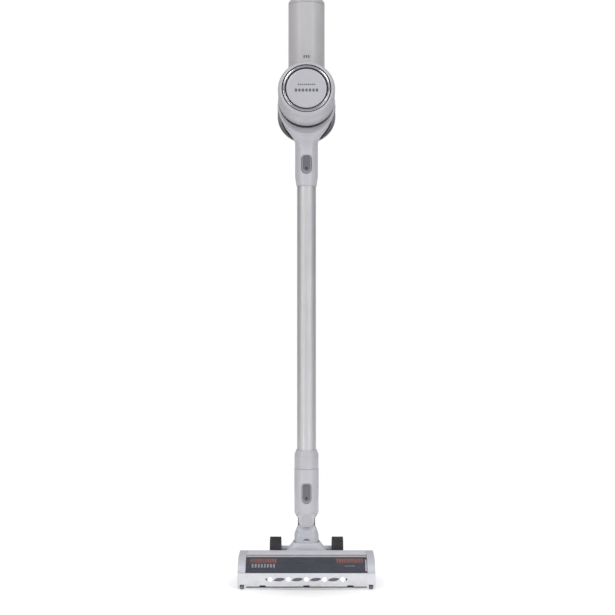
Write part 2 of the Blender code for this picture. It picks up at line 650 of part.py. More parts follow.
def motor_unit(joints):
    """Motor housing, gasket, motor, impeller and the exhaust filter, all on the tilted axis."""
    place, empty = cyclone_place(), joints["handheld"]
    edge = arc((HOUSING_R - HOUSING_FILLET, HOUSING_FILLET), HOUSING_FILLET, 270, 360, 5)
    bend = (12, 18, 24, LEAN_END)
    housing = [(46.6, 0.0)] + edge[1:] + [(HOUSING_R, back) for back in bend] + [(HOUSING_R, HOUSING_END)]
    housing += [(50.8, HOUSING_END)] + [(50.8, back) for back in reversed(bend)] + [(50.8, 8), (46.6, 4)]
    piece("motor_housing", lean_front(lathe(housing, segments=48)), "white", empty)
    piece("seam_gasket", tube(46.6, 52.6, HOUSING_END + GAP, RING_START - GAP, place, 40), "rubber", empty)
    motor = [(0, 18), (24, 18), (27, 20), (27, 31), (22, 33.5), (3, 33.5), (3, 34.6), (0, 34.6)]
    piece("motor_can", lathe(motor, place, 24), "copper", empty)
    piece("hepa_filter", tube(8, 45.2, 5.6, 12.4, cyclone_place(FACE_TILT), 32), "filter", empty)
    impeller(joints["impeller"])


def impeller(empty):
    place = cyclone_place()
    hub = [(0, 35.0), (36, 35.0), (36, 36.4), (14, 38), (8, 45.5), (0, 45.5)]
    wheel = piece("impeller", lathe(hub, place, 24), "grey", empty)
    blades = 9
    for k in range(blades):
        blade = bmesh.new()
        bmesh.ops.create_cube(blade, size=1)
        bmesh.ops.scale(blade, vec=(26, 1.4, 7.5), verts=blade.verts)
        bmesh.ops.translate(blade, vec=(21.5, 3.0, 39.5), verts=blade.verts)
        turn = place @ Matrix.Rotation(2 * math.pi * k / blades, 4, "Z")
        bmesh.ops.transform(blade, matrix=turn, verts=blade.verts)
        add(wheel, blade)
    return wheel


def filter_cover(empty):
    """The front disc, the bright ring round it and the dark plate that carries both."""
    place = cyclone_place(FACE_TILT)
    disc = [(0, -0.8), (18, -0.7), (32, -0.3), (36.6, 0.1), (CAP_R, 1.0), (CAP_R, 2.2), (0, 2.2)]
    piece("front_cap", lathe(disc, place, 40), "white", empty)
    ring = [(CHROME_IN, 0.4), (CHROME_IN + 1, -0.6), (CHROME_OUT - 1, -0.6), (CHROME_OUT, 0.4),
            (CHROME_OUT, 2.2), (CHROME_IN, 2.2)]
    piece("chrome_ring", lathe(ring, place, 40), "chrome", empty)
    piece("cap_base", rod(CAP_BASE_R, 2.5, 5.2, place, 40), "dark", empty)


def dust_cup(empty, lid_empty, latch_empty):
    place = cyclone_place()
    wall = [(55.0, 40), (CUP_R, CUP_END), (53.8, CUP_END), (52.4, 40)]
    cup = piece("dust_cup", lathe(wall, place, 48), "cup", empty)
    cut(cup, box((-80, 80), (-60, CUP_PLANE_Y + 0.4), (800, 1000)))
    lid = [(0, CUP_END + GAP), (CUP_R, CUP_END + GAP), (CUP_R, 121.0), (54.5, CUP_LENGTH), (0, CUP_LENGTH)]
    lid_piece = piece("cup_lid", lathe(lid, place, 48), "grey", lid_empty)
    y, z = cyclone_point(CUP_END + 2.6, -CUP_R - 2.2)
    add(lid_piece, rod(3.2, -12, 12, along_x(y, z), 16))
    latch = side_prism([cyclone_point(109, CUP_R + 0.6), cyclone_point(109, CUP_R + 3.6),
                        cyclone_point(122, CUP_R + 3.6), cyclone_point(122, CUP_R + 0.6)], (-8, 8))
    piece("lid_latch", latch, "grey", latch_empty)


def mesh_filter(empty):
    """The perforated shroud that the air leaves the cup through."""
    profile = [(0, 101.5), (22.8, 101.5), (28.5, 56), (24, 54.5), (24, 52), (46, 52), (46, 54.5), (31, 56),
               (25, 104), (0, 104)]
    return piece("mesh_filter", lathe(profile, cyclone_place(), 28), "steel", empty)


def barrel(empty):
    wall = BARREL_R - BARREL_WALL
    profile = [(0, BARREL_FLOOR), (wall, BARREL_FLOOR), (wall, BARREL_TOP), (BARREL_R, BARREL_TOP),
               (BARREL_R, 930), (wall, 930), (wall, BARREL_FLOOR - 3), (0, BARREL_FLOOR - 3)]
    shell = piece("barrel_shell", lathe(profile, segments=40), "white", empty)
    cut(shell, rod(CUP_R + 0.8, -10, 130, cyclone_place(), 48))


def battery(empty):
    """A pack that slides up out of the barrel: a case with the barrel's top cap, and six cells."""
    dome = arc((BARREL_R - 6, 1097.0), 6.0, 60, 0, 4)
    profile = [(0, TOP_Z), (13, TOP_Z - 0.5), (24, TOP_Z - 2.6)] + dome
    case_r = BARREL_R - BARREL_WALL - 0.5
    profile += [(BARREL_R, BARREL_TOP + GAP), (case_r, BARREL_TOP + GAP), (case_r, BARREL_FLOOR + 3),
                (case_r - 2, BARREL_FLOOR + 3), (case_r - 2, 1090), (0, 1090)]
    piece("battery_case", lathe(profile, segments=40), "white", empty)
    cells = piece("battery_cells", rod(27, 1065.5, 1067, segments=24), "cell", empty)
    count, ring_r, cell_r = 6, 19.0, 9.2
    for k in range(count):
        turn = 2 * math.pi * k / count
        place = Matrix.Translation((ring_r * math.cos(turn), ring_r * math.sin(turn), 0))
        add(cells, rod(cell_r, 1001, 1066, place, 14))


def grip_path():
    """The grip's centre line in (y, z), with the half sizes of its section: width, then thickness."""
    low = [(30.0, GRIP_LOW_Z), (52.0, GRIP_LOW_Z)]
    low += arc((GRIP_BAR_Y - GRIP_BEND, GRIP_LOW_Z + GRIP_BEND), GRIP_BEND, 270, 360, 6)
    high = arc((GRIP_BAR_Y - GRIP_BEND, GRIP_HIGH_Z - GRIP_BEND), GRIP_BEND, 0, 90, 6)
    return low + [(GRIP_BAR_Y, 1024.0)] + high + [(52.0, GRIP_HIGH_Z), (30.0, GRIP_HIGH_Z)]


def grip_ring(points, k, grow=0.0, sweep=(0, 360), count=18, size=(14.5, 10.0, 14.0)):
    """The section at one point of the grip's line, square to it."""
    y, z = points[k]
    before, after = points[max(k - 1, 0)], points[min(k + 1, len(points) - 1)]
    along = Vector((after[0] - before[0], after[1] - before[1])).normalized()
    across = (along[1], -along[0])
    upright = abs(along[1])
    thick = size[1] + (size[2] - size[1]) * upright + (2.0 if z > 1060 else 0.0) * (1 - upright)
    wide = size[0] + 1.0 * upright
    ring = []
    for step in range(count):
        turn = math.radians(sweep[0] + (sweep[1] - sweep[0]) * step / (count if sweep[1] == 360 else count - 1))
        off = (thick + grow) * math.cos(turn)
        ring.append(((wide + grow) * math.sin(turn), y + across[0] * off, z + across[1] * off))
    return ring


def grip(joints):
    """The D-shaped grip behind the barrel, with its pad, trigger, mode button and lights."""
    empty = joints["handheld"]
    points = grip_path()
    shell = piece("grip_shell", skin([grip_ring(points, k) for k in range(len(points))]), "white", empty)
    cut(shell, rod(BARREL_R + GAP, 900, 1150, segments=40))
    cut(shell, box((-7.3, 7.3), (70, 88), (1037.7, 1062.3)))
    cut(shell, box((-6.3, 6.3), (66.7, 79.3), (1087, 1100)))
    cut(shell, box((-4.3, 4.3), (45.7, 62.3), (1089.4, 1100)))
    pad_line = [(GRIP_BAR_Y, z) for z in (992, 1008, 1024, 1040, 1056)]
    outer = [grip_ring(pad_line, k, 1.7, (-60, 60), 9) for k in range(len(pad_line))]
    inner = [grip_ring(pad_line, k, GAP, (-60, 60), 9) for k in range(len(pad_line))]
    rings = [out + list(reversed(into)) for out, into in zip(outer, inner)]
    piece("grip_pad", skin(rings), "rubber", empty)
    piece("status_lights", box((-4, 4), (46, 62), (1089.8, 1091.2)), "lens", empty)
    trigger = side_prism([(74, 1042), (74, 1058), (76, 1061.9), (82, 1061.9), (82, 1038.1), (76, 1038.1)],
                         (-6.9, 6.9))
    piece("power_trigger", trigger, "grey", joints["power_trigger"])
    piece("mode_button", box((-6, 6), (67, 79), (1089.2, 1092.2)), "grey", joints["mode_button"])


def handheld(joints):
    empty = joints["handheld"]
    inlet_body(empty)
    motor_unit(joints)
    filter_cover(joints["filter_cover"])
    mesh_filter(empty)
    dust_cup(joints["dust_cup"], joints["cup_lid"], joints["lid_latch"])
    barrel(empty)
    battery(joints["battery_pack"])
    grip(joints)
    front = -INLET_R - 0.3
    button = front_prism(button_outline(WAND_BUTTON_Z), (front, front + BUTTON_THICK - 0.7))
    piece("wand_release_button", button, "grey", joints["wand_release_button"])


# ---------------------------------------------------------------- assembly


def make_joints():
    """One empty for each moving body, on its joint's axis, nested as the bodies are."""
    made = {"floor_head": joint("floor_head", (0, 0, 0))}

    def under(name, parent, position):
        made[name] = joint(name, position, made[parent])

    under("brush_roll", "floor_head", (0, BRUSH_Y, BRUSH_Z))
    under("motor_pulley", "floor_head", (0, MOTOR_Y, MOTOR_Z))
    under("brush_lock_knob", "floor_head", (-HEAD_HALF, BRUSH_Y, BRUSH_Z))
    for name, (y, radius, near, _) in (("front_roller", FRONT_ROLLER), ("rear_roller", REAR_ROLLER)):
        under(name + "_left", "floor_head", (near, y, radius))
        under(name + "_right", "floor_head", (-near, y, radius))
    under("yoke", "floor_head", (0, PIVOT_Y, PIVOT_Z))
    under("wheel_left", "yoke", (WHEEL_X[0], AXLE_Y, AXLE_Z))
    under("wheel_right", "yoke", (-WHEEL_X[0], AXLE_Y, AXLE_Z))
    under("neck", "yoke", (0, 0, SWIVEL_Z))
    under("head_release_button", "neck", (0, -NECK_R, sum(HEAD_BUTTON_Z) / 2))
    under("wand", "neck", (0, 0, NECK_TOP))
    under("handheld", "wand", (0, 0, INLET_BOTTOM))
    under("wand_release_button", "handheld", (0, -INLET_R, sum(WAND_BUTTON_Z) / 2))
    under("impeller", "handheld", (0, *cyclone_point(40, 0)))
    under("filter_cover", "handheld", (0, *cyclone_point(0, 0)))
    under("dust_cup", "handheld", (0, *cyclone_point(CUP_END, 0)))
    under("cup_lid", "dust_cup", (0, *cyclone_point(CUP_END + 2.6, -CUP_R - 2.2)))
    under("lid_latch", "dust_cup", (0, *cyclone_point(109, CUP_R + 2)))
    under("battery_pack", "handheld", (0, 0, BARREL_TOP))
    under("power_trigger", "handheld", (0, 78, 1050))
    under("mode_button", "handheld", (0, 73, 1091))
    return made


def main():
    clear_scene()
    joints = make_joints()
    floor_head(joints)
    yoke(joints["yoke"])
    neck_hose(joints["yoke"])
    wheels(joints)
    lower_neck(joints["neck"], joints["head_release_button"])
    wand(joints["wand"])
    handheld(joints)


main()
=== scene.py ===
"""Looks for the cordless stick vacuum: fine meshes, node materials, lights, floor and camera.

Shapes below are drawn in millimetres in the frame's axes (+Z up, -Y to the front) and scaled once.
"""

import json
import random
from math import copysign, cos, pi, radians, sin, sqrt

import bmesh
import bpy
from mathutils import Matrix, Vector


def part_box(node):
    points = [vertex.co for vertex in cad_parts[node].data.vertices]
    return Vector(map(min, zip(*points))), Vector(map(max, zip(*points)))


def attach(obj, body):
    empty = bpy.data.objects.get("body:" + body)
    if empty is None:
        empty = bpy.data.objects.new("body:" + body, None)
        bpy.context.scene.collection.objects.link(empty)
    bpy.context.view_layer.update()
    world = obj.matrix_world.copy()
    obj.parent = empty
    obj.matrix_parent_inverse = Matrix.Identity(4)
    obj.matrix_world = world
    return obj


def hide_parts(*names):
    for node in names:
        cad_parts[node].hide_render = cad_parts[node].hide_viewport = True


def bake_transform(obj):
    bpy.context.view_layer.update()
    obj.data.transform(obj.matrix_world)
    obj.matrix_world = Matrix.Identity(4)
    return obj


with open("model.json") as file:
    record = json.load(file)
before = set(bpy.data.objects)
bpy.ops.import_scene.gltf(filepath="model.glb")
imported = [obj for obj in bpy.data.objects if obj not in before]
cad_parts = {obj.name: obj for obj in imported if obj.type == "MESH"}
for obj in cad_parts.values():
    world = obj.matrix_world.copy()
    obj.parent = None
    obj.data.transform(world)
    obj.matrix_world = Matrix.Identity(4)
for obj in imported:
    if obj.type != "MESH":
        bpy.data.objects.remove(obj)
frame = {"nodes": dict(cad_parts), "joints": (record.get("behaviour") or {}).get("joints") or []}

MM = 0.001
GAP = 0.3
HAND, HEAD = "handheld", "floor_head"
SIDES = (("left", 1), ("right", -1))
SHARP = 40
NO_LENGTH = 1e-3
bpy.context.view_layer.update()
JOINTS = {joint["name"]: joint for joint in frame["joints"]}


# ---- places read from the frame


def span(node):
    """A CAD node's lowest and highest corners, in millimetres."""
    low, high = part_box(node)
    return low / MM, high / MM


def pivot(joint):
    return Vector(JOINTS[joint]["pos_m"]) / MM


TUBE_LOW, TUBE_HIGH = span("wand_tube")
TUBE_R = TUBE_HIGH.x
NECK_LOW, NECK_HIGH = span("neck_shell")
NECK_R = NECK_HIGH.x
COLLAR_LOW, COLLAR_HIGH = span("wand_lower_collar")
COLLAR_R = COLLAR_HIGH.x
BARREL_HIGH = span("barrel_shell")[1]
BARREL_R = BARREL_HIGH.x
BATTERY_LOW, BATTERY_HIGH = span("battery_case")
INLET_LOW = span("inlet_body")[0]
INLET_R = 21.8
HEAD_LOW, HEAD_HIGH = span("end_cap_left")
HEAD_HALF, HEAD_TOP = HEAD_HIGH.x, HEAD_HIGH.z
CHEEK_INNER = HEAD_LOW.x
BUMPER_LOW, BUMPER_HIGH = span("front_bumper")
SEAM_Z = BUMPER_HIGH.z + GAP
SWIVEL_Z = pivot("head_swivel").z
PIN_BORE = 3.3
BRUSH = pivot("brush_spin")
AXLE = pivot("wheel_left_spin")
TILT = pivot("head_tilt")
FACE = pivot("filter_cover_twist")
FACE_BACK = Vector(JOINTS["filter_cover_twist"]["axis"])
BACK = Vector(JOINTS["cup_pull"]["axis"])
CUP_LOW, CUP_HIGH = span("dust_cup")
CUP_R = CUP_HIGH.x
LID_HINGE = pivot("lid_hinge")
HEAD_BUTTON = span("head_release_button")
WAND_BUTTON = span("wand_release_button")
GRIP_LOW, GRIP_HIGH = span("grip_shell")
GRIP_BAR_Y = GRIP_HIGH.y - 14.0
BRUSH_HALF = span("brush_core")[1].x


# ---- mesh tools


def skin(rings, closed=False):
    """Bridges rings of points, all of one length, into a surface with capped ends."""
    mesh = bmesh.new()
    rows = [[mesh.verts.new(point) for point in ring] for ring in rings]
    count = len(rows[0])
    for low, high in zip(rows, rows[1:] + (rows[:1] if closed else [])):
        for i in range(count):
            j = (i + 1) % count
            mesh.faces.new((low[i], low[j], high[j], high[i]))
    if not closed:
        mesh.faces.new(rows[0])
        mesh.faces.new(reversed(rows[-1]))
    return mesh


def lathe(profile, place=None, segments=96, closed=False):
    """Turns (radius, height) points about a local Z axis; a point of radius 0 is a pole."""
    place = place or Matrix()
    mesh = bmesh.new()
    turns = [2 * pi * k / segments for k in range(segments)]
    rows = []
    for radius, height in profile:
        if radius < 1e-6:
            rows.append([mesh.verts.new(place @ Vector((0, 0, height)))])
        else:
            rows.append([mesh.verts.new(place @ Vector((radius * cos(t), radius * sin(t), height))) for t in turns])
    if closed or len(rows[0]) > 1:
        rows.append(rows[0])
    for low, high in zip(rows, rows[1:]):
        for i in range(segments):
            j = (i + 1) % segments
            if len(low) == 1 and len(high) > 1:
                mesh.faces.new((low[0], high[j], high[i]))
            elif len(high) == 1 and len(low) > 1:
                mesh.faces.new((low[i], low[j], high[0]))
            elif len(low) > 1:
                mesh.faces.new((low[i], low[j], high[j], high[i]))
    return mesh


def rod(radius, low, high, place=None, segments=48):
    return lathe([(0, low), (radius, low), (radius, high), (0, high)], place, segments)


def along_x(point):
    return Matrix.Translation((0, point.y, point.z)) @ Matrix.Rotation(radians(90), 4, "Y")


def along_y(x, z, y=0.0):
    return Matrix.Translation((x, y, z)) @ Matrix.Rotation(radians(-90), 4, "X")


def cyclone(back=BACK):
    """Local Z runs back from the middle of the front face, local Y is up across it."""
    axes = Matrix((Vector((-1, 0, 0)), Vector((0, -back.z, back.y)), back)).transposed().to_4x4()
    return Matrix.Translation(FACE) @ axes


def lean_front(mesh, start=8.0, end=30.0):
    """Bends a mesh drawn on the cyclone's axis so that its front stands square to the face."""
    face, axis = cyclone(FACE_BACK), cyclone()
    for vert in mesh.verts:
        share = min(1.0, max(0.0, (end - vert.co.z) / (end - start)))
        vert.co = (face @ vert.co) * share + (axis @ vert.co) * (1 - share)
    return mesh


def box(x, y, z):
    low = [(x[0], y[0], z[0]), (x[1], y[0], z[0]), (x[1], y[1], z[0]), (x[0], y[1], z[0])]
    return skin([low, [(px, py, z[1]) for px, py, _ in low]])


def moved(mesh, place):
    bmesh.ops.transform(mesh, matrix=place, verts=mesh.verts)
    return mesh


def mirrored(limits, side):
    return tuple(sorted(side * value for value in limits))


def side_prism(outline, x):
    return skin([[(end, py, pz) for py, pz in outline] for end in x])


def front_prism(outline, y):
    return skin([[(px, end, pz) for px, pz in outline] for end in y])


def arc(centre, radius, start, end, count):
    turns = [radians(start + (end - start) * k / (count - 1)) for k in range(count)]
    return [(centre[0] + radius * cos(t), centre[1] + radius * sin(t)) for t in turns]


def curve(start, pull, end, count):
    points = []
    for k in range(count):
        t = k / (count - 1)
        weights = ((1 - t) ** 2, 2 * t * (1 - t), t * t)
        points.append(tuple(sum(w * p[i] for w, p in zip(weights, (start, pull, end))) for i in (0, 1)))
    return points


def heading(points, k):
    """The direction of a line of points at one of them."""
    before, after = points[max(k - 1, 0)], points[min(k + 1, len(points) - 1)]
    return Vector((after[0] - before[0], after[1] - before[1])).normalized()


def spline(keys, steps):
    """Smooth values through keys of equal-length tuples (Catmull-Rom), steps to each stretch."""
    points = [keys[0]] + list(keys) + [keys[-1]]
    out = []
    for k in range(1, len(points) - 2):
        a, b, c, d = points[k - 1:k + 3]
        for s in range(steps):
            t = s / steps
            out.append(tuple(0.5 * (2 * q + (r - p) * t + (2 * p - 5 * q + 4 * r - w) * t * t
                                    + (3 * q - p - 3 * r + w) * t ** 3)
                             for p, q, r, w in zip(a, b, c, d)))
    return out + [tuple(keys[-1])]


def oval(half_width, y_low, y_high, z, power=2.6, count=72):
    """A soft-cornered level section."""
    half_depth, middle = (y_high - y_low) / 2, (y_low + y_high) / 2
    ring = []
    for k in range(count):
        c, s = cos(2 * pi * k / count), sin(2 * pi * k / count)
        ring.append((half_width * copysign(abs(c) ** (2 / power), c),
                     middle + half_depth * copysign(abs(s) ** (2 / power), s), z))
    return ring


def rounded(half_x, half_z, corner, x=0.0, z=0.0, count=6):
    """A rounded rectangle of (x, z) points."""
    points = []
    for sx, sz, start in ((1, 1, 0), (-1, 1, 90), (-1, -1, 180), (1, -1, 270)):
        centre = (x + sx * (half_x - corner), z + sz * (half_z - corner))
        points += arc(centre, corner, start, start + 90, count)
    return points


def apply_modifiers(obj):
    shown = bpy.context.evaluated_depsgraph_get()
    mesh = bpy.data.meshes.new_from_object(obj.evaluated_get(shown))
    old = obj.data
    obj.modifiers.clear()
    obj.data = mesh
    bpy.data.meshes.remove(old)


def add_object(name, data):
    made = bpy.data.objects.new(name, data)
    bpy.context.scene.collection.objects.link(made)
    return made


def plain_object(name, mesh):
    bmesh.ops.scale(mesh, vec=(MM, MM, MM), verts=mesh.verts)
    bmesh.ops.recalc_face_normals(mesh, faces=mesh.faces)
    data = bpy.data.meshes.new(name)
    mesh.to_mesh(data)
    mesh.free()
    return add_object(name, data)


def boolean(obj, mesh, operation):
    tool = plain_object(obj.name + "_tool", mesh)
    modifier = obj.modifiers.new(operation, "BOOLEAN")
    modifier.operation, modifier.solver, modifier.object = operation, "EXACT", tool
    apply_modifiers(obj)
    bpy.data.objects.remove(tool)


def piece(name, mesh, material, body, replaces=(), joins=(), cuts=(), voxel=0, relax=0, bevel=0, bevel_steps=3,
          sharp=SHARP, slot=None):
    """Makes one finished piece: Booleans, remesh and smoothing, bevels, then material and body; the slot is looked up
    but not set.
    """
    obj = plain_object(name, mesh)
    for tool in joins:
        boolean(obj, tool, "UNION")
    for tool in cuts:
        boolean(obj, tool, "DIFFERENCE")
    if voxel:
        remesh = obj.modifiers.new("remesh", "REMESH")
        remesh.mode, remesh.voxel_size = "VOXEL", voxel * MM
        smooth = obj.modifiers.new("smooth", "SMOOTH")
        smooth.factor, smooth.iterations = 0.5, relax
    if bevel:
        edge = obj.modifiers.new("bevel", "BEVEL")
        edge.width, edge.segments, edge.limit_method = bevel * MM, bevel_steps, "ANGLE"
        edge.angle_limit = radians(sharp)
        edge.use_clamp_overlap = True
    if obj.modifiers:
        apply_modifiers(obj)
    slot = slot or SLOT_OF[material.name]
    obj.data.materials.clear()
    obj.data.materials.append(material)
    obj.data.shade_smooth()
    obj.data.set_sharp_from_angle(angle=radians(sharp))
    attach(obj, body)
    if replaces:
        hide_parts(*([replaces] if isinstance(replaces, str) else replaces))
    return obj


def refine(node, name, material, body, bevel=0.4, sharp=SHARP):
    """A CAD node's own shape with its flat faces made whole and its edges rounded."""
    mesh = bmesh.new()
    mesh.from_mesh(frame["nodes"][node].data)
    bmesh.ops.remove_doubles(mesh, verts=mesh.verts, dist=1e-6)
    bmesh.ops.dissolve_limit(mesh, angle_limit=radians(0.5), verts=mesh.verts, edges=mesh.edges)
    bmesh.ops.scale(mesh, vec=(1 / MM,) * 3, verts=mesh.verts)
    piece(name, mesh, material, body, node, bevel=bevel, bevel_steps=2, sharp=sharp)


# ---- materials


class Nodes:
    """A short way to build one material's node tree."""

    def __init__(self, name):
        self.material = bpy.data.materials.new(name)
        self.material.use_nodes = True
        self.tree = self.material.node_tree
        self.shader = self.tree.nodes["Principled BSDF"]
        self.place = self.add("ShaderNodeTexCoord").outputs["Object"]

    def add(self, kind, **settings):
        node = self.tree.nodes.new(kind)
        for key, value in settings.items():
            setattr(node, key, value)
        return node

    def link(self, source, target):
        self.tree.links.new(source, target)

    def feed(self, value, socket):
        """Links an output, or sets a constant."""
        if isinstance(value, bpy.types.NodeSocket):
            self.link(value, socket)
        else:
            socket.default_value = value

    def stretched(self, scale, shift=(0.0, 0.0, 0.0)):
        """Object coordinates scaled along each axis, then shifted."""
        mapping = self.add("ShaderNodeMapping")
        mapping.inputs["Scale"].default_value, mapping.inputs["Location"].default_value = scale, shift
        self.link(self.place, mapping.inputs["Vector"])
        return mapping.outputs["Vector"]

    def texture(self, kind, output, values, stretch=None, **settings):
        node = self.add("ShaderNodeTex" + kind, **settings)
        for name, value in values.items():
            node.inputs[name].default_value = value
        self.link(self.stretched(stretch) if stretch else self.place, node.inputs["Vector"])
        return node.outputs[output]

    def noise(self, scale, detail=3.0, stretch=None):
        return self.texture("Noise", "Fac", {"Scale": scale, "Detail": detail}, stretch)

    def grid(self, scale):
        """Distance from the middle of each cell of a regular grid."""
        return self.texture("Voronoi", "Distance", {"Scale": scale, "Randomness": 0.0})

    def cloud(self, noise, stops):
        """Patches: a noise, given by its arguments, sent through a ramp."""
        return self.ramp(self.noise(*noise), stops)

    def ramp(self, factor, stops):
        """Colours or values at positions along a factor."""
        node = self.add("ShaderNodeValToRGB")
        elements = node.color_ramp.elements
        while len(elements) < len(stops):
            elements.new(0.5)
        for element, (position, value) in zip(elements, stops):
            element.position = position
            element.color = value if isinstance(value, tuple) else (value, value, value, 1.0)
        self.link(factor, node.inputs["Fac"])
        return node.outputs["Color"]

    def mix(self, factor, first, second):
        node = self.add("ShaderNodeMix", data_type="RGBA", blend_type="MIX")
        for name, value in (("Factor", factor), ("A", first), ("B", second)):
            self.feed(value, node.inputs[name])
        return node.outputs["Result"]

    def math(self, kind, first, second=0.0):
        node = self.add("ShaderNodeMath", operation=kind)
        for socket, value in zip(node.inputs, (first, second)):
            self.feed(value, socket)
        return node.outputs["Value"]

    def bump(self, height, strength, distance):
        node = self.add("ShaderNodeBump")
        node.inputs["Strength"].default_value = strength
        node.inputs["Distance"].default_value = distance
        self.link(height, node.inputs["Height"])
        self.link(node.outputs["Normal"], self.shader.inputs["Normal"])

    def set(self, **values):
        for key, value in values.items():
            self.feed(value, self.shader.inputs[key.replace("_", " ")])


def shade(colour, factor):
    return tuple(min(1.0, channel * factor) for channel in colour[:3]) + (1.0,)


DUST = (0.42, 0.40, 0.37, 1.0)


def plastic(name, colour, roughness, spread=0.03, grain=1600.0, grain_strength=0.12, coat=0.0, dust=0.0):
    """Moulded plastic: a faint mottle, fine moulding grain, rubbed patches, paler edges and floor dust."""
    nodes = Nodes(name)
    mottle = nodes.cloud((14, 4), [(0.3, shade(colour, 1 - spread)), (0.7, shade(colour, 1 + spread))])
    edges = nodes.ramp(nodes.add("ShaderNodeNewGeometry").outputs["Pointiness"], [(0.52, 0.0), (0.60, 1.0)])
    rubbed = nodes.cloud((60, 5), [(0.45, 0.0), (0.65, 1.0)])
    wear = nodes.math("MULTIPLY", nodes.math("MULTIPLY", edges, rubbed), 0.35)
    surface = nodes.mix(wear, mottle, shade(colour, 1.22))
    if dust:
        height = nodes.add("ShaderNodeSeparateXYZ")
        nodes.link(nodes.place, height.inputs["Vector"])
        low = nodes.ramp(height.outputs["Z"], [(0.0, 1.0), (0.035, 0.0)])
        patches = nodes.cloud((90, 6), [(0.4, 0.15), (0.7, 1.0)])
        amount = nodes.math("MULTIPLY", nodes.math("MULTIPLY", low, patches), dust)
        surface = nodes.mix(amount, surface, DUST)
    smears = nodes.cloud((35, 6, (1, 1, 0.3)), [(0.35, roughness * 0.85), (0.7, roughness * 1.2)])
    nodes.set(Base_Color=surface, Roughness=smears, Coat_Weight=coat, Coat_Roughness=0.15)
    nodes.bump(nodes.noise(grain, 2), grain_strength, 0.00005)
    return nodes.material


def brushed(name, colour, roughness, stretch, strength=0.15):
    """Metal with fine parallel lines along the axis that is stretched least."""
    nodes = Nodes(name)
    lines = nodes.noise(1.0, 4, stretch)
    patches = nodes.noise(22, 4)
    tint = nodes.mix(nodes.ramp(patches, [(0.3, 0.0), (0.7, 1.0)]), shade(colour, 0.96), shade(colour, 1.04))
    tint = nodes.mix(nodes.ramp(lines, [(0.35, 0.0), (0.65, 0.5)]), tint, shade(colour, 0.9))
    rough = nodes.ramp(lines, [(0.3, roughness * 0.8), (0.7, roughness * 1.25)])
    nodes.set(Base_Color=tint, Metallic=1.0, Roughness=rough)
    nodes.bump(lines, strength, 0.00003)
    return nodes.material


def rubber(name, colour, roughness=0.8, pattern=None):
    """Matt rubber with a fine pebble, and raised dots where a pattern scale is given."""
    nodes = Nodes(name)
    worn = nodes.cloud((45, 6), [(0.35, shade(colour, 0.8)), (0.7, shade(colour, 1.5))])
    nodes.set(Base_Color=worn, Roughness=nodes.cloud((80, 4), [(0.3, roughness), (0.7, roughness * 0.8)]))
    if pattern:
        nodes.bump(nodes.ramp(nodes.grid(pattern), [(0.2, 1.0), (0.45, 0.0)]), 0.5, 0.0004)
    else:
        nodes.bump(nodes.noise(1200, 3), 0.25, 0.0001)
    return nodes.material


def clear(name, colour, alpha, roughness=0.08, coat=0.5):
    """Tinted see-through plastic with faint swirls and dust on it."""
    nodes = Nodes(name)
    haze = nodes.cloud((30, 6), [(0.35, alpha * 0.92), (0.75, min(1.0, alpha * 1.12))])
    tint = nodes.cloud((12, 3), [(0.3, shade(colour, 0.92)), (0.7, shade(colour, 1.08))])
    scuffs = nodes.cloud((1.0, 6, (60, 200, 60)), [(0.45, roughness), (0.75, roughness * 3)])
    nodes.set(Base_Color=tint, Roughness=scuffs, Alpha=haze, Coat_Weight=coat, Coat_Roughness=0.05)
    nodes.bump(nodes.noise(300, 3), 0.03, 0.00005)
    return nodes.material


def glowing(name, colour, strength):
    nodes = Nodes(name)
    spot = nodes.cloud((500, 2), [(0.3, shade(colour, 0.92)), (0.7, shade(colour, 1.0))])
    nodes.set(Base_Color=spot, Roughness=0.12, Emission_Color=spot, Emission_Strength=strength)
    nodes.bump(nodes.noise(900, 2), 0.1, 0.0001)
    return nodes.material


def bristle(name, colour, scale, painted_glow=0.0):
    nodes = Nodes(name)
    tint = nodes.cloud((scale, 3), [(0.25, shade(colour, 0.6)), (0.75, shade(colour, 1.25))])
    nodes.set(Base_Color=tint, Roughness=0.6, Sheen_Weight=0.3, Sheen_Roughness=0.4)
    # Painted light: a glow makes the bristles shine though they are no lamp.
    if painted_glow:
        nodes.set(Emission_Color=shade(colour, 1.0), Emission_Strength=painted_glow)
    nodes.bump(nodes.noise(scale * 4, 3), 0.4, 0.0002)
    return nodes.material


def perforated(name, colour):
    """Fine metal gauze: a regular grid of dark holes."""
    nodes = Nodes(name)
    solid = nodes.ramp(nodes.grid(620), [(0.30, 0.0), (0.42, 1.0)])
    tint = nodes.mix(solid, (0.02, 0.02, 0.02, 1.0), shade(colour, 1.0))
    nodes.set(Base_Color=tint, Metallic=solid, Roughness=nodes.cloud((70, 3), [(0.3, 0.3), (0.7, 0.45)]))
    nodes.bump(solid, 0.4, 0.0003)
    return nodes.material


def pleated(name, colour):
    nodes = Nodes(name)
    waves = nodes.texture("Wave", "Fac", {"Scale": 120}, wave_type="BANDS", bands_direction="X")
    # Painted shade: the colour darkens along each fold, standing for the shade in the pleats.
    tint = nodes.ramp(waves, [(0.2, shade(colour, 0.6)), (0.8, shade(colour, 1.05))])
    nodes.set(Base_Color=tint, Roughness=0.9)
    nodes.bump(waves, 0.6, 0.0006)
    return nodes.material


def white(part, colour, dust=0.0):
    return plastic("white_plastic" + part, colour, 0.36, coat=0.15, dust=dust)


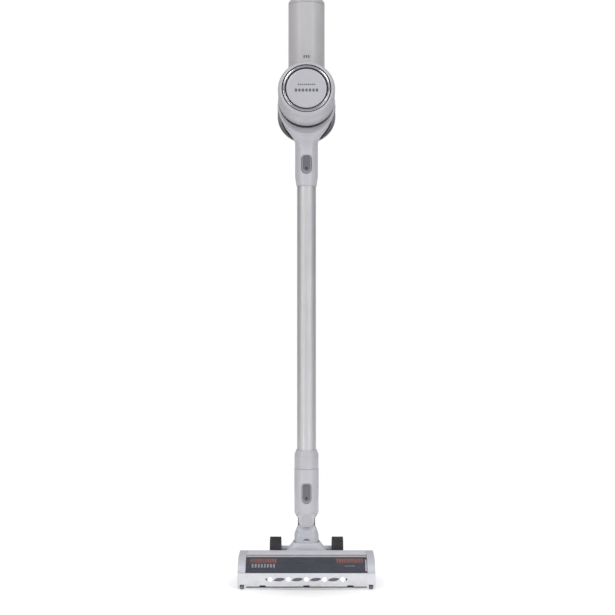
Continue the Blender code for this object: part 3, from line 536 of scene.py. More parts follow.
WHITE = white("", (0.50, 0.495, 0.52))
# Painted light: the fan, neck, waist, bell, cheek and head whites are copies of the one white plastic, made lighter
# where the lamps fall brighter. The waist copy is also tinted bluer as a painted reflection. The dust near the floor
# is real.
WHITE_FAN_PAINTED_LIGHT = white("_inlet", (0.545, 0.54, 0.575))
WHITE_BARREL = white("_barrel", (0.50, 0.49, 0.495))
WHITE_NECK_PAINTED_LIGHT = white("_neck", (0.53, 0.53, 0.56))
WHITE_WAIST_PAINTED_LIGHT = white("_waist", (0.53, 0.535, 0.58))
WHITE_BELL_PAINTED_LIGHT = white("_bell", (0.70, 0.71, 0.75))
WHITE_CHEEK_PAINTED_LIGHT = white("_cheek", (0.57, 0.575, 0.615), dust=0.5)
WHITE_LOW_PAINTED_LIGHT = white("_head", (0.70, 0.705, 0.74), dust=0.5)
DISC = plastic("disc_plastic", (0.50, 0.495, 0.53), 0.3, coat=0.3)
GREY = plastic("grey_plastic", (0.30, 0.30, 0.325), 0.42)
BUTTON_RIM = plastic("button_rim_plastic", (0.28, 0.28, 0.305), 0.4)
BUTTON_PAINTED_SHADE = plastic("button_plastic_painted_shade", (0.15, 0.15, 0.167), 0.42)
ARM = plastic("arm_plastic", (0.72, 0.72, 0.78), 0.45)
ROLLER = rubber("roller_rubber", (0.11, 0.11, 0.115), 0.6)
# Dark grey for the eye and the lamp backing, and also for the painted shadow sheet below the swivel.
SLOT_AND_PAINTED_SHADOW = plastic("slot_plastic_and_painted_shadow", (0.17, 0.17, 0.215), 0.4)
BAND = plastic("window_band_plastic", (0.53, 0.52, 0.52), 0.45)
BADGE = plastic("window_mark", (0.24, 0.24, 0.26), 0.5)
# Pale grey for the cup lid, and also for the painted highlight strip at the window's right end.
PALE_GREY_AND_PAINTED_HIGHLIGHT = plastic("pale_grey_plastic_and_painted_highlight", (0.46, 0.455, 0.49), 0.38)
BASE_GREY = plastic("chassis_plastic", (0.20, 0.20, 0.215), 0.5, dust=0.6)
DARK = plastic("dark_plastic", (0.022, 0.022, 0.026), 0.5)
PRINT = plastic("printed_mark", (0.13, 0.13, 0.15), 0.5)
# Near black for the real seam gasket, and for the painted shadow strips at the fan's edge and along the bumper's
# foot.
SEAM_AND_PAINTED_SHADOW = plastic("seam_rubber_and_painted_shadow", (0.012, 0.012, 0.014), 0.45)
ALUMINIUM = brushed("satin_aluminium", (0.68, 0.68, 0.69), 0.6, (900, 900, 6))
CHROME = brushed("bright_chrome", (0.56, 0.56, 0.59), 0.19, (300, 300, 300), 0.03)
STEEL = brushed("ground_steel", (0.55, 0.55, 0.56), 0.3, (8, 600, 600))
COPPER = brushed("motor_can_metal", (0.62, 0.42, 0.30), 0.35, (300, 40, 40))
RUBBER = rubber("soft_rubber", (0.035, 0.035, 0.04))
TYRE = rubber("tyre_rubber", (0.032, 0.031, 0.035), 0.8)
PAD = rubber("grip_rubber", (0.05, 0.05, 0.055), 0.75, 380)
HOSE = rubber("hose_plastic", (0.085, 0.085, 0.095), 0.55)
SMOKE = clear("smoky_window", (0.076, 0.083, 0.106), 0.64, coat=0.15)
CUP = clear("cup_plastic", (0.13, 0.13, 0.137), 0.68, 0.12, coat=0.3)
LIGHT = glowing("headlight_lens", (1.0, 1.0, 1.0), 3.0)
STATUS = glowing("status_lens", (0.75, 0.90, 1.0), 0.35)
ORANGE = bristle("orange_bristle", (0.75, 0.17, 0.03), 700)
BLACK_BRISTLE = bristle("dark_bristle", (0.05, 0.045, 0.05), 900)
# Orange with a painted glow.
COMB_PAINTED_GLOW = bristle("comb_orange_painted_glow", (0.95, 0.25, 0.08), 500, 1.7)
GAUZE = perforated("filter_gauze", (0.6, 0.6, 0.6))
PAPER = pleated("filter_paper", (0.80, 0.80, 0.77))
CELL = plastic("cell_wrap", (0.05, 0.16, 0.36), 0.35)
SLOT_GROUPS = {
    "white_plastic": (WHITE, WHITE_FAN_PAINTED_LIGHT, WHITE_BARREL, WHITE_NECK_PAINTED_LIGHT, WHITE_WAIST_PAINTED_LIGHT, WHITE_BELL_PAINTED_LIGHT, WHITE_CHEEK_PAINTED_LIGHT, WHITE_LOW_PAINTED_LIGHT,
                      DISC),
    "grey_plastic": (GREY, BUTTON_RIM, BUTTON_PAINTED_SHADE, ARM, BAND, BADGE, PALE_GREY_AND_PAINTED_HIGHLIGHT, BASE_GREY),
    "dark_plastic": (DARK, PRINT, SLOT_AND_PAINTED_SHADOW), "soft_rubber": (SEAM_AND_PAINTED_SHADOW, RUBBER, PAD, ROLLER), "wheel_rubber": (TYRE,),
    "chrome_trim": (CHROME,), "wand_aluminium": (ALUMINIUM,), "steel_part": (STEEL, GAUZE), "hose_plastic": (HOSE,),
    "cup_plastic": (CUP,), "smoke_window": (SMOKE,), "clear_lens": (LIGHT, STATUS),
    "orange_bristle": (ORANGE, COMB_PAINTED_GLOW), "dark_bristle": (BLACK_BRISTLE,),
}
SLOT_OF = {material.name: slot for slot, group in SLOT_GROUPS.items() for material in group}


# ---- handheld unit

FACE_R, FILLET, HOUSING_END = 53.3, 7.0, 49.0
RING_START = 59.5
CUP_PLANE = CUP_LOW.y


def motor_housing():
    edge = arc((FACE_R - FILLET, FILLET), FILLET, 270, 360, 14)
    bend = [12 + 3 * k for k in range(7)]
    body = [(46.5, 0.3), (46.7, 0.05)] + edge + [(FACE_R, back) for back in bend]
    body += [(FACE_R, HOUSING_END - 0.6), (FACE_R - 0.6, HOUSING_END), (50.8, HOUSING_END)]
    body += [(50.8, back) for back in reversed(bend)] + [(50.8, 8), (46.5, 4)]
    piece("motor_housing_shell", lean_front(lathe(body, None, 128)), WHITE, HAND, "motor_housing", sharp=50)
    gasket = [(46.6, HOUSING_END + GAP), (52.3, HOUSING_END + GAP), (52.6, HOUSING_END + 0.8),
              (52.6, RING_START - 0.8), (52.3, RING_START - GAP), (46.6, RING_START - GAP)]
    piece("seam_gasket_ring", lathe(gasket, cyclone(), 128), SEAM_AND_PAINTED_SHADOW, HAND, "seam_gasket")


def filter_cover():
    """The front disc with its plain motif, the bright ring, and the dark plate in the gaps between."""
    place = cyclone(FACE_BACK)
    disc = [(0, -0.8), (10, -0.78), (18, -0.7), (26, -0.55), (32, -0.3), (35.6, 0.0), (36.9, 0.3),
            (37.6, 1.0), (37.6, 2.2), (0, 2.2)]
    piece("front_disc", lathe(disc, place, 128), DISC, "filter_cover", "front_cap")
    ring = [(40.4, 0.1), (40.7, -0.45), (41.3, -0.7), (42.3, -0.6), (43.3, -0.3), (44.2, 0.15), (44.7, 0.8),
            (44.7, 2.2), (40.4, 2.2)]
    piece("bright_ring", lathe(ring, place, 128), CHROME, "filter_cover", "chrome_ring")
    piece("cap_plate", lathe([(0, 2.5), (46.2, 2.5), (46.2, 5.2), (0, 5.2)], place, 96), DARK,
          "filter_cover", "cap_base")
    for k, mesh in enumerate(mark_row(7, 6.5, 2.4, 3.1, -4.2) + mark_row(9, 3.7, 1.3, 1.5, 6.8)):
        piece(f"disc_motif_{k}", moved(mesh, place), PRINT, "filter_cover")


def mark_row(count, pitch, half_x, half_y, up, low=-0.95, high=-0.4):
    """A row of plain rounded inlays in the disc's own plane."""
    row = []
    for k in range(count):
        outline = rounded(half_x, half_y, min(half_x, half_y) * 0.98, pitch * (k - (count - 1) / 2), up)
        row.append(skin([[(x, y, end) for x, y in outline] for end in (low, high)]))
    return row


def barrel():
    wall = BARREL_R - 2.35
    top = BARREL_HIGH.z
    profile = [(0, top - 112), (wall, top - 112), (wall, top), (BARREL_R - 0.5, top), (BARREL_R, top - 0.5),
               (BARREL_R, top - 80), (BARREL_R, 930), (wall, 930), (wall, top - 115), (0, top - 115)]
    piece("barrel", lathe(profile, None, 128), WHITE_BARREL, HAND, "barrel_shell",
          cuts=[rod(57.3, -10, 130, cyclone(), 128)])
    for k, x in enumerate((-4.2, 0.0, 4.2)):
        depth = sqrt(BARREL_R ** 2 - x * x)
        mark = front_prism(rounded(1.4, 2.7, 0.6, x, 989), (-depth - 0.12, -depth + 0.6))
        piece(f"level_mark_{k}", mark, PRINT, HAND)


def battery():
    """The battery pack: its cap, domed with a rounded shoulder, over the case."""
    low, high = BATTERY_LOW.z, BATTERY_HIGH.z
    seam = BARREL_HIGH.z + GAP
    dome = [(0, high), (8, high - 0.15), (15, high - 0.6), (21, high - 1.4), (25.5, high - 2.6)]
    dome += arc((BARREL_R - 7, high - 11.2), 7.0, 72, 0, 12)
    case = BARREL_R - 2.85
    profile = dome + [(BARREL_R, seam + 0.5), (BARREL_R - 0.5, seam), (case, seam), (case, low), (case - 2, low),
                      (case - 2, high - 18), (0, high - 18)]
    piece("battery_pack_case", lathe(profile, None, 128), WHITE_BARREL, "battery_pack", "battery_case", sharp=50)


def inlet():
    """Neck, fan and ring as one moulding with soft joins, and the pocket of the release button."""
    place = cyclone()
    back = CUP_PLANE - 0.4
    keys = [(INLET_R, -21.8, 21.8, 822), (21.9, -21.9, 21.6, 829), (23.2, -23.0, 15.0, 834), (26.8, -26, back, 839.5),
            (31.2, -28.5, back, 845.5), (35.6, -31, back, 851), (39.8, -33, back, 857), (43.6, -34.5, back, 864),
            (47.3, -35, back, 873), (50.6, -33, back, 884), (52.0, -33, back, 890)]
    fan = skin([oval(*values, power=2.4) for values in spline(keys, 5)])
    low = INLET_LOW.z
    neck = lathe([(0, low), (18.9, low), (19.3, low + 0.4), (INLET_R - 0.5, low + 14), (INLET_R, low + 18),
                  (INLET_R, 832), (0, 832)], None, 96)
    ring = rod(54.9, RING_START, 96, place, 128)
    cuts = [rod(64, -10, RING_START - 0.05, place, 64), box((-80, 80), (back, 60), (838.4, 1000)),
            rod(51.6, 30, 110, place, 96), rod(18.4, 740, 803, None, 96)]
    cuts += button_pocket(*WAND_BUTTON, -20.3)
    piece("inlet_moulding", fan, WHITE_FAN_PAINTED_LIGHT, HAND, "inlet_body", joins=[neck, ring], cuts=cuts,
          voxel=0.7, relax=6, sharp=60)
    rim = [(half, z) for half, _, _, z in spline(keys[3:9], 5)]
    loop = [(half + 1.3, z - 0.4) for half, z in rim] + [(half - 3, z) for half, z in reversed(rim)]
    # Painted shadow: dark strips along the fan's edge at the cup stand for the shade of that edge and its gap.
    for side, label in ((1, "left"), (-1, "right")):
        strip = front_prism([(side * x, z) for x, z in loop], (back + 0.02, back + 0.3))
        piece(f"mouth_seal_{label}", strip, SEAM_AND_PAINTED_SHADOW, HAND)


def half_round(half, low, high, corner, count):
    """Rounded shoulders above, a half round below."""
    inner = half - corner
    top = arc((inner, high - corner), corner, 0, 90, 8) + arc((-inner, high - corner), corner, 90, 180, 8)
    return top + arc((0, low + half), half, 180, 360, count)[:-1]


def button_outline(low, high, grow=0.0):
    return half_round(9.2 + grow, low.z - grow, high.z - 1.2 + grow, 5.5 + grow, 20)


def button_pocket(low, high, rim_depth):
    """A button's hole, with a wider step for its rim."""
    return [front_prism(button_outline(low, high, 0.9), (-30, rim_depth)),
            front_prism(button_outline(low, high, GAP), (-30, -15))]


def release_button(name, node, low, high):
    """A pale rim round a sunk pad painted darker as the shade of its recess, with a dark disc above the crescent at
    its foot painted as the shade of the scoop.
    """
    front = low.y
    rings = []
    for inset, y in ((0.0, high.y), (0.0, front + 0.9), (0.25, front + 0.35), (0.9, front)):
        rings.append([(x, y, z) for x, z in button_outline(low, high, -inset)])
    pad_low, pad_high = low.z + 4.6, high.z - 2.6
    pocket = front_prism(half_round(6.7, pad_low, pad_high, 3.8, 24), (front - 2, front + 1.4))
    piece(name, skin(rings), BUTTON_RIM, node, node, cuts=[pocket])
    # Painted shade: the sunk pad gets a darker grey than the rim, standing for the shade in its recess.
    pad = front_prism(half_round(6.5, pad_low + 0.2, pad_high - 0.2, 3.8, 24), (front + 0.6, front + 1.6))
    piece(name + "_pad", pad, BUTTON_PAINTED_SHADE, node, bevel=0.3)
    # Painted shade: this dark disc stands for the shadow in the scoop at the button's foot.
    dot = front_prism(rounded(2.1, 2.4, 2.0, 0, pad_low + 5.4), (front + 0.35, front + 0.9))
    piece(name + "_dot", dot, DARK, node, bevel=0.25, slot="grey_plastic")


def dust_cup():
    """Cup, lid, hinge knuckles, latch and the filter inside, all on the tilted axis."""
    place = cyclone()
    wall = [(55.2, 40), (CUP_R - 0.5, 115), (CUP_R, 115.8), (CUP_R, 117.7), (53.9, 117.7), (52.5, 40)]
    piece("dust_cup_shell", lathe(wall, place, 128), CUP, "dust_cup", "dust_cup",
          cuts=[box((-80, 80), (-60, CUP_PLANE), (800, 1000))])
    shroud = [(0, 101.5), (22.8, 101.5), (28.5, 56), (24, 54.5), (24, 52), (46, 52), (46, 54.5), (31, 56), (25, 104),
              (0, 104)]
    piece("gauze_filter", lathe(shroud, place, 96), GAUZE, HAND, "mesh_filter")
    lid = [(0, 118.0), (CUP_R - 0.4, 118.0), (CUP_R, 118.5), (CUP_R, 120.8), (CUP_R - 0.7, 122.2),
           (CUP_R - 2.2, 123.0), (44, 123.1), (43, 122.3), (20, 121.6), (0, 121.5)]
    knuckle = rod(3.2, -12, 12, along_x(LID_HINGE), 48)
    piece("cup_lid_disc", lathe(lid, place, 128), PALE_GREY_AND_PAINTED_HIGHLIGHT, "cup_lid", "cup_lid", joins=[knuckle])
    for k in range(6):
        rib = moved(box((-1.1, 1.1), (24, 42), (120.9, 123.0)), place @ Matrix.Rotation(pi * k / 3, 4, "Z"))
        piece(f"lid_rib_{k}", rib, PALE_GREY_AND_PAINTED_HIGHLIGHT, "cup_lid", bevel=0.5)
    latch = moved(box((-8, 8), (57.2, 60.2), (109, 122)), place)
    piece("latch_key", latch, GREY, "lid_latch", "lid_latch", bevel=1.0)


def grip_line():
    """The grip's centre line in (y, z), bar and arms joined by round bends."""
    low_z, high_z, bend = GRIP_LOW.z + 10.0, GRIP_HIGH.z - 12.0, 16.0
    line = [(30 + k * (GRIP_BAR_Y - bend - 30) / 6, low_z) for k in range(6)]
    line += arc((GRIP_BAR_Y - bend, low_z + bend), bend, 270, 360, 12)
    line += [(GRIP_BAR_Y, low_z + bend + (high_z - low_z - 2 * bend) * k / 8) for k in range(1, 8)]
    line += arc((GRIP_BAR_Y - bend, high_z - bend), bend, 0, 90, 12)
    return line + [(GRIP_BAR_Y - bend - (GRIP_BAR_Y - bend - 30) * k / 6, high_z) for k in range(1, 7)]


def grip_ring(points, k, grow=0.0, sweep=(0, 360), count=48):
    (y, z), along = points[k], heading(points, k)
    upright = abs(along[1])
    thick = 10 + 4 * upright + (2.0 if z > (GRIP_LOW.z + GRIP_HIGH.z) / 2 + 30 else 0.0) * (1 - upright)
    wide = 14.5 + upright
    ring = []
    for step in range(count):
        turn = radians(sweep[0] + (sweep[1] - sweep[0]) * step / (count if sweep[1] == 360 else count - 1))
        off = (thick + grow) * cos(turn)
        ring.append(((wide + grow) * sin(turn), y + along[1] * off, z - along[0] * off))
    return ring


def seat(low, high, floor):
    """The pocket in the grip's top for a key or a lens."""
    return box((low.x - GAP, high.x + GAP), (low.y - GAP, high.y + GAP), (floor, 1100))


def grip():
    points = grip_line()
    trigger_low, trigger_high = span("power_trigger")
    mode_low, mode_high = span("mode_button")
    light_low, light_high = span("status_lights")
    cuts = [rod(BARREL_R + 0.15, 900, 1150, None, 128),
            box((-7.3, 7.3), (70, 88), (trigger_low.z - 0.4, trigger_high.z + 0.4)),
            seat(mode_low, mode_high, 1087), seat(light_low, light_high, 1089.4)]
    piece("grip", skin([grip_ring(points, k) for k in range(len(points))]), WHITE, HAND,
          "grip_shell", cuts=cuts, sharp=45)
    pad_low, pad_high = span("grip_pad")
    heights = [pad_low.z + (pad_high.z - pad_low.z) * k / 24 for k in range(25)]
    line = [(GRIP_BAR_Y, z) for z in heights]
    rings = []
    for k, z in enumerate(heights):
        ends = min(z - pad_low.z, pad_high.z - z)
        swell = GAP + 1.4 * min(1.0, 0.25 + ends / 5)
        outer, inner = grip_ring(line, k, swell, (-62, 62), 33), grip_ring(line, k, GAP * 0.5, (-62, 62), 33)
        rings.append(outer + inner[::-1])
    piece("grip_pad_rubber", skin(rings), PAD, HAND, "grip_pad", sharp=60)
    outline = [(trigger_low.y, 1043), (trigger_low.y, 1057)] + arc((76.5, 1059.3), 2.6, 150, 90, 5)
    outline += [(82, trigger_high.z), (82, trigger_low.z)] + arc((76.5, 1040.7), 2.6, 270, 210, 5)
    piece("trigger", side_prism(outline, (trigger_low.x, trigger_high.x)), GREY, "power_trigger",
          "power_trigger", bevel=0.9)
    piece("mode_key", box(*zip(mode_low, mode_high)), GREY, "mode_button", "mode_button", bevel=1.0)
    piece("status_window", box(*zip(light_low, light_high)), DARK, HAND, "status_lights",
          bevel=0.4, slot="clear_lens")
    for k in range(3):
        y = light_low.y + 3.5 + 4.5 * k
        dot = lathe([(0, 0), (1.0, 0), (1.0, 0.25), (0.6, 0.45), (0, 0.5)],
                    Matrix.Translation((0, y, light_high.z - 0.05)), 24)
        piece(f"status_dot_{k}", dot, STATUS, HAND)


def handheld():
    motor_housing()
    filter_cover()
    barrel()
    battery()
    inlet()
    release_button("wand_button", "wand_release_button", *WAND_BUTTON)
    dust_cup()
    grip()


# ---- wand


def wand():
    bottom, top = TUBE_LOW.z, TUBE_HIGH.z
    tube = [(TUBE_R - 1.2, bottom + 0.3), (TUBE_R - 0.9, bottom), (TUBE_R - 0.3, bottom), (TUBE_R, bottom + 0.3),
            (TUBE_R, top - 0.3), (TUBE_R - 0.3, top), (TUBE_R - 0.9, top), (TUBE_R - 1.2, top - 0.3)]
    piece("wand_tube_satin", lathe(tube, None, 128), ALUMINIUM, "wand", "wand_tube")
    low, high = COLLAR_LOW.z, COLLAR_HIGH.z
    stop = NECK_HIGH.z + GAP
    outside = [(18.2, low), (18.2, stop), (COLLAR_R - 0.5, stop), (COLLAR_R, stop + 0.5)]
    groove = 231.0
    outside += [(COLLAR_R, groove - 0.6), (COLLAR_R - 0.4, groove - 0.3), (COLLAR_R - 0.4, groove + 0.3),
                (COLLAR_R, groove + 0.6)]
    outside += [(COLLAR_R, high - 10), (COLLAR_R - 0.4, high - 8.6), (COLLAR_R - 3.2, high - 1.2),
                (COLLAR_R - 3.8, high - 0.2), (COLLAR_R - 4.2, high)]
    inside = [(TUBE_R + 0.15, high), (TUBE_R + 0.15, bottom - GAP), (15.9, bottom - GAP), (15.9, low)]
    piece("wand_collar", lathe(outside + inside, None, 128), WHITE, "wand", "wand_lower_collar", sharp=30)


# ---- neck, yoke and wheels


def neck():
    low, high = NECK_LOW.z, NECK_HIGH.z
    profile = [(17.7, 113.2), (18.2, 113.0), (18.7, 113.4), (22.8, 120.4), (NECK_R - 0.15, 121.8), (NECK_R, 123.4),
               (NECK_R, high - 1.0), (NECK_R - 0.6, high), (18.5, high), (18.5, 140), (15.6, 140),
               (15.6, 124), (17.7, 122)]
    tongue = [(14.7, 113), (15.8, 122), (-15.8, 122), (-14.7, 113)]
    tongue += [(14.3 * x, SWIVEL_Z + 10.0 * z) for x, z in arc((0, 0), 1.0, 182, 358, 40)]
    joins = [front_prism(tongue, mirrored((17.8, 21.5), side)) for side in (-1, 1)]
    cuts = [rod(12.0, -17.7, 17.7, along_y(0, SWIVEL_Z), 64), rod(PIN_BORE, -30, 30, along_y(0, SWIVEL_Z), 32)]
    for side in (-1, 1):
        notch = [(14.6, 108.0), (26.0, 108.0), (26.0, 122.2), (20.6, 121.4)]
        cuts.append(front_prism([(side * x, z) for x, z in notch], (-30, 30)))
    cuts += button_pocket(*HEAD_BUTTON, -21.6)
    piece("neck_moulding", lathe(profile, None, 128), WHITE_NECK_PAINTED_LIGHT, "neck", "neck_shell", joins=joins,
          cuts=cuts, sharp=32)
    boot = [(17.8, 113.6), (18.0, 113.4), (18.7, 114.5), (19.4, 114.9), (19.2, 115.9), (20.4, 116.8), (20.3, 117.8),
            (21.4, 118.6), (21.3, 119.6), (22.1, 120.4), (22.1, 121.9), (18.2, 121.9)]
    piece("hose_boot", lathe(boot, None, 96), HOSE, "neck",
          cuts=[rod(12.4, -17.7, 17.7, along_y(0, SWIVEL_Z), 64)], sharp=60)
    release_button("head_button", "head_release_button", *HEAD_BUTTON)
    for side in (-1, 1):
        face = rounded(9.4, 10.6, 9.2, 0, SWIVEL_Z + 2.4, 14)
        cap = front_prism(face, sorted((side * 21.3, side * 22.2)))
        piece("swivel_cap_" + ("front" if side < 0 else "rear"), cap, WHITE, "neck", bevel=0.25, bevel_steps=3)


def hose():
    """The ribbed hose, straight between the yoke and the neck."""
    low, high = span("neck_hose")
    ribs, steps = 7, 10
    rings = []
    for k in range(ribs * steps + 1):
        t = k / (ribs * steps)
        wave = 0.95 * (1 + cos(2 * pi * ribs * t))
        rings.append(oval(15.3 + wave, -12.7 - wave, 12.7 + wave, low.z + (high.z - low.z) * t, 2.0, 64))
    inner = [oval(13.6, -11.4, 11.4, z, 2.0, 64) for z in (high.z, low.z)]
    obj = plain_object("ribbed_hose", skin(rings + inner, closed=True))
    obj.data.materials.append(HOSE)
    obj.data.shade_smooth()
    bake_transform(obj)
    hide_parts("neck_hose")


def yoke():
    """The bell that tilts on the head: waist, sloped shoulders, eye slot and the swivel's inner ears."""
    keys = [(29.5, -7, 23, 22), (36, -12, 27, 30), (39.5, -16, 30, 38), (39.5, -18.5, 31, 44),
            (38.0, -19.3, 30.5, 49), (36.3, -19.8, 29.5, 52), (31.4, -20.6, 26.5, 58.5), (26.2, -21.3, 23.5, 65.4),
            (25.6, -21.3, 23.2, 66.4)]
    bell = skin([oval(*values, power=3.4) for values in spline(keys, 5)])
    groove = skin([oval(24.6, -20.5, 20.6, z, power=3.0) for z in (61.5, 70)])
    cuts = [groove, rod(14.2, 10, 120, None, 64), rod(5.8, -60, 60, along_x(AXLE), 48),
            rod(5.3, -60, 60, along_x(TILT), 48), box((-15, 15), (-30, 10), (16, 40))]
    piece("yoke_bell", bell, WHITE_BELL_PAINTED_LIGHT, "yoke", "yoke_shell", cuts=cuts, bevel=0.5, sharp=50)
    keys = [(23.35, -19.6, 19.5, 56), (23.35, -19.6, 19.5, 80), (22.6, -19.4, 19.3, 83), (18.8, -17.7, 17.7, 92.6),
            (18.3, -17.2, 17.2, 93.5)]
    waist = skin([oval(*values, power=3.0) for values in keys])
    ear = [(-8.5, 88), (8.5, 88)] + arc((0, SWIVEL_Z), 8.5, 0, 180, 32)
    ears = [front_prism(ear, mirrored((15.1, 17.4), side)) for side in (-1, 1)]
    for side in (-1, 1):
        horn = [(6.0, 88), (16.4, 88), (16.4, 98.4), (15.2, 100.4), (11.4, 101.0)]
        horn += arc((0, SWIVEL_Z), 12.8, -29, -62, 12)
        ears += [front_prism([(side * x, z) for x, z in horn], mirrored((15.1, 17.4), end)) for end in (-1, 1)]
    eye = [(-6.8, 71.2), (6.8, 71.2), (6.0, 72.6), (3.6, 74.4), (0, 75.2), (-3.6, 74.4), (-6.0, 72.6)]
    cuts = [rod(14.2, 34, 120, None, 64), rod(PIN_BORE, -30, 30, along_y(0, SWIVEL_Z), 32),
            front_prism(eye, (-25, -17.6))]
    piece("yoke_waist", waist, WHITE_WAIST_PAINTED_LIGHT, "yoke", joins=ears, cuts=cuts, bevel=0.4, sharp=50)
    piece("yoke_eye", front_prism(eye, (-18.4, -17.7)), SLOT_AND_PAINTED_SHADOW, "yoke")
    # Painted shadow: a dark sheet in the gap below the swivel, where the tongue shades the ears.
    gap = arc((0, SWIVEL_Z), 10.0, 242, 298, 12) + arc((0, SWIVEL_Z), 12.2, 298, 242, 12)
    piece("swivel_shadow_gap", front_prism(gap, (-17.75, -17.45)), SLOT_AND_PAINTED_SHADOW, "yoke")
    axle = [(0, -70.5), (2.4, -70.5), (3, -69.9), (3, -48.4), (5.0, -48.4), (5.5, -47.9), (5.5, 47.9), (5.0, 48.4),
            (3, 48.4), (3, 69.9), (2.4, 70.5), (0, 70.5)]
    piece("axle_bar", lathe(axle, along_x(AXLE), 64), ARM, "yoke", "wheel_axle")


def wheels():
    place = along_x(AXLE)
    for label, side in SIDES:
        near, far = 48.8, 71.0
        tread = [(15.3, near), (18, near), (21.3, near + 0.1), (22.2, near + 0.4), (22.5, near + 1.0)]
        grooves = 4
        for k in range(grooves):
            x = near + 4.6 + 3.9 * k
            tread += [(22.5, x), (22.1, x + 0.25), (22.1, x + 0.75), (22.5, x + 1.0)]
        tread += [(22.5, far - 1.0), (22.2, far - 0.4), (21.3, far - 0.1), (18, far), (15.3, far)]
        hub = [(3.3, near + 0.8), (14.5, near + 0.8), (15.0, near + 1.3), (15.0, far - 1.6), (14.4, far - 1.0),
               (12.5, far - 1.0), (11.5, far - 2.6), (6.2, far - 2.6), (5.4, far - 1.2), (3.3, far - 1.2)]
        for name, profile, material in (("tyre", tread, TYRE), ("hub", hub, GREY)):
            mesh = lathe([(r, side * x) for r, x in profile], place, 96)
            piece(f"{name}_{label}", mesh, material, f"wheel_{label}", f"wheel_{name}_{label}", sharp=30)


# ---- floor head

SHEET = 2.2
WINDOW_LOW, WINDOW_PULL, WINDOW_HIGH = (-104.0, SEAM_Z + 0.1), (-95.0, 53.5), (-67.0, HEAD_TOP)
REAR_EDGE = [(-29.7, HEAD_TOP)] + arc((-29.5, 51.5), 4.0, 80, 10, 8) + [(-24.4, 45.0)]


def window_curve(inset=0.0, steps=28):
    points = curve(WINDOW_LOW, WINDOW_PULL, WINDOW_HIGH, steps)
    moved = []
    for k, (y, z) in enumerate(points):
        along = heading(points, k)
        moved.append((y + along[1] * inset, max(z - along[0] * inset, WINDOW_LOW[1])))
    return moved


def head_outline(inset=0.0):
    rear = [(y - inset, z - inset) for y, z in REAR_EDGE]
    rear += [(-23.5 - inset, 36.0), (-23.5 - inset, 4.0 + inset)]
    front = [(-93.1 + inset, 4.0 + inset), (-93.1 + inset, WINDOW_LOW[1] + inset)]
    return window_curve(inset) + rear + front


def cheek(name, node, side):
    """An end cap with a softly rolled outer edge."""
    outline = head_outline()
    rings = []
    for x, inset in ((CHEEK_INNER, 0.0), (HEAD_HALF - 2.2, 0.0), (HEAD_HALF - 1.0, 0.2),
                     (HEAD_HALF - 0.3, 0.6), (HEAD_HALF, 1.4)):
        middle = (-63.0, 29.0)
        ring = []
        for y, z in outline:
            out = Vector((y - middle[0], z - middle[1]))
            shrink = 1 - inset / max(out.length, 1.0)
            ring.append((side * x, middle[0] + out.x * shrink, middle[1] + out.y * shrink))
        rings.append(ring)
    cuts = [side_prism(head_outline(SHEET), mirrored((CHEEK_INNER - 2, HEAD_HALF - 5.4), side))]
    if side < 0:
        cuts.append(rod(16.2, -130, -118, along_x(BRUSH), 64))
    piece(name, skin(rings), WHITE_CHEEK_PAINTED_LIGHT, HEAD, node, cuts=cuts, sharp=38)


def top_cover():
    outer = [(-66.6, HEAD_TOP)] + REAR_EDGE + [(-23.5, 36), (-23.5, 32.4)]
    inner = [(-25.7, 32.4), (-25.7, 36), (-26.6, 45), (-28.4, 50.6), (-31.0, HEAD_TOP - SHEET),
             (-66.6, HEAD_TOP - SHEET)]
    half = CHEEK_INNER - GAP
    piece("top_strip", side_prism(outer + inner, (-half, half)), WHITE_LOW_PAINTED_LIGHT, HEAD,
          "head_top_cover", bevel=0.4, sharp=30)


BAND_LIMITS, HIGHLIGHT_LIMITS = (-77.6, -70.5), (33, 51)


def window_film(steps, over, under, axis, limits, x):
    """A thin sheet that follows the window, where one of its coordinates is within limits."""
    outer, inner = ([point for point in window_curve(depth, steps) if limits[0] < point[axis] < limits[1]]
                    for depth in (over, under))
    return side_prism(outer + inner[::-1], x)


def window():
    """The smoky window, with the pale band along its top edge and a painted highlight strip at its right end."""
    half = CHEEK_INNER - GAP
    line, inner = window_curve(), window_curve(SHEET)
    piece("window_sheet", side_prism(line + inner[::-1], (-half, half)), SMOKE, HEAD, "brush_window", sharp=30)
    band = window_film(84, -0.03, 0.4, 0, BAND_LIMITS, (-half + 0.6, half - 0.6))
    piece("window_band", band, BAND, HEAD, sharp=30)
    # Painted highlight: a pale strip on the window's right end stands for the light caught by that edge.
    edge = window_film(60, -0.03, 0.4, 1, HIGHLIGHT_LIMITS, (half - 3.4, half - 0.9))
    piece("window_edge_painted_highlight", edge, PALE_GREY_AND_PAINTED_HIGHLIGHT, HEAD, sharp=30)


def combs():
    """Two rows of orange teeth that hang behind the window's top edge, clear of the brush; they glow as painted light
    so that they show through the dark window.
    """
    count, pitch = 11, 4.5
    for label, side in SIDES:
        mesh = bmesh.new()
        for k in range(count):
            x = side * (57 + pitch * k)
            tooth = skin([[(x - w, -81 + d, z), (x + w, -81 + d, z), (x + w, -77 + d, z), (x - w, -77 + d, z)]
                          for w, d, z in ((0.7, 0.6, 43.4), (1.15, 0.3, 46.6), (1.35, 0.0, 50.4))])
            tooth.verts.ensure_lookup_table()
            copy = bpy.data.meshes.new("tooth")
            tooth.to_mesh(copy)
            mesh.from_mesh(copy)
            bpy.data.meshes.remove(copy)
        piece(f"comb_{label}", mesh, COMB_PAINTED_GLOW, HEAD, sharp=30)


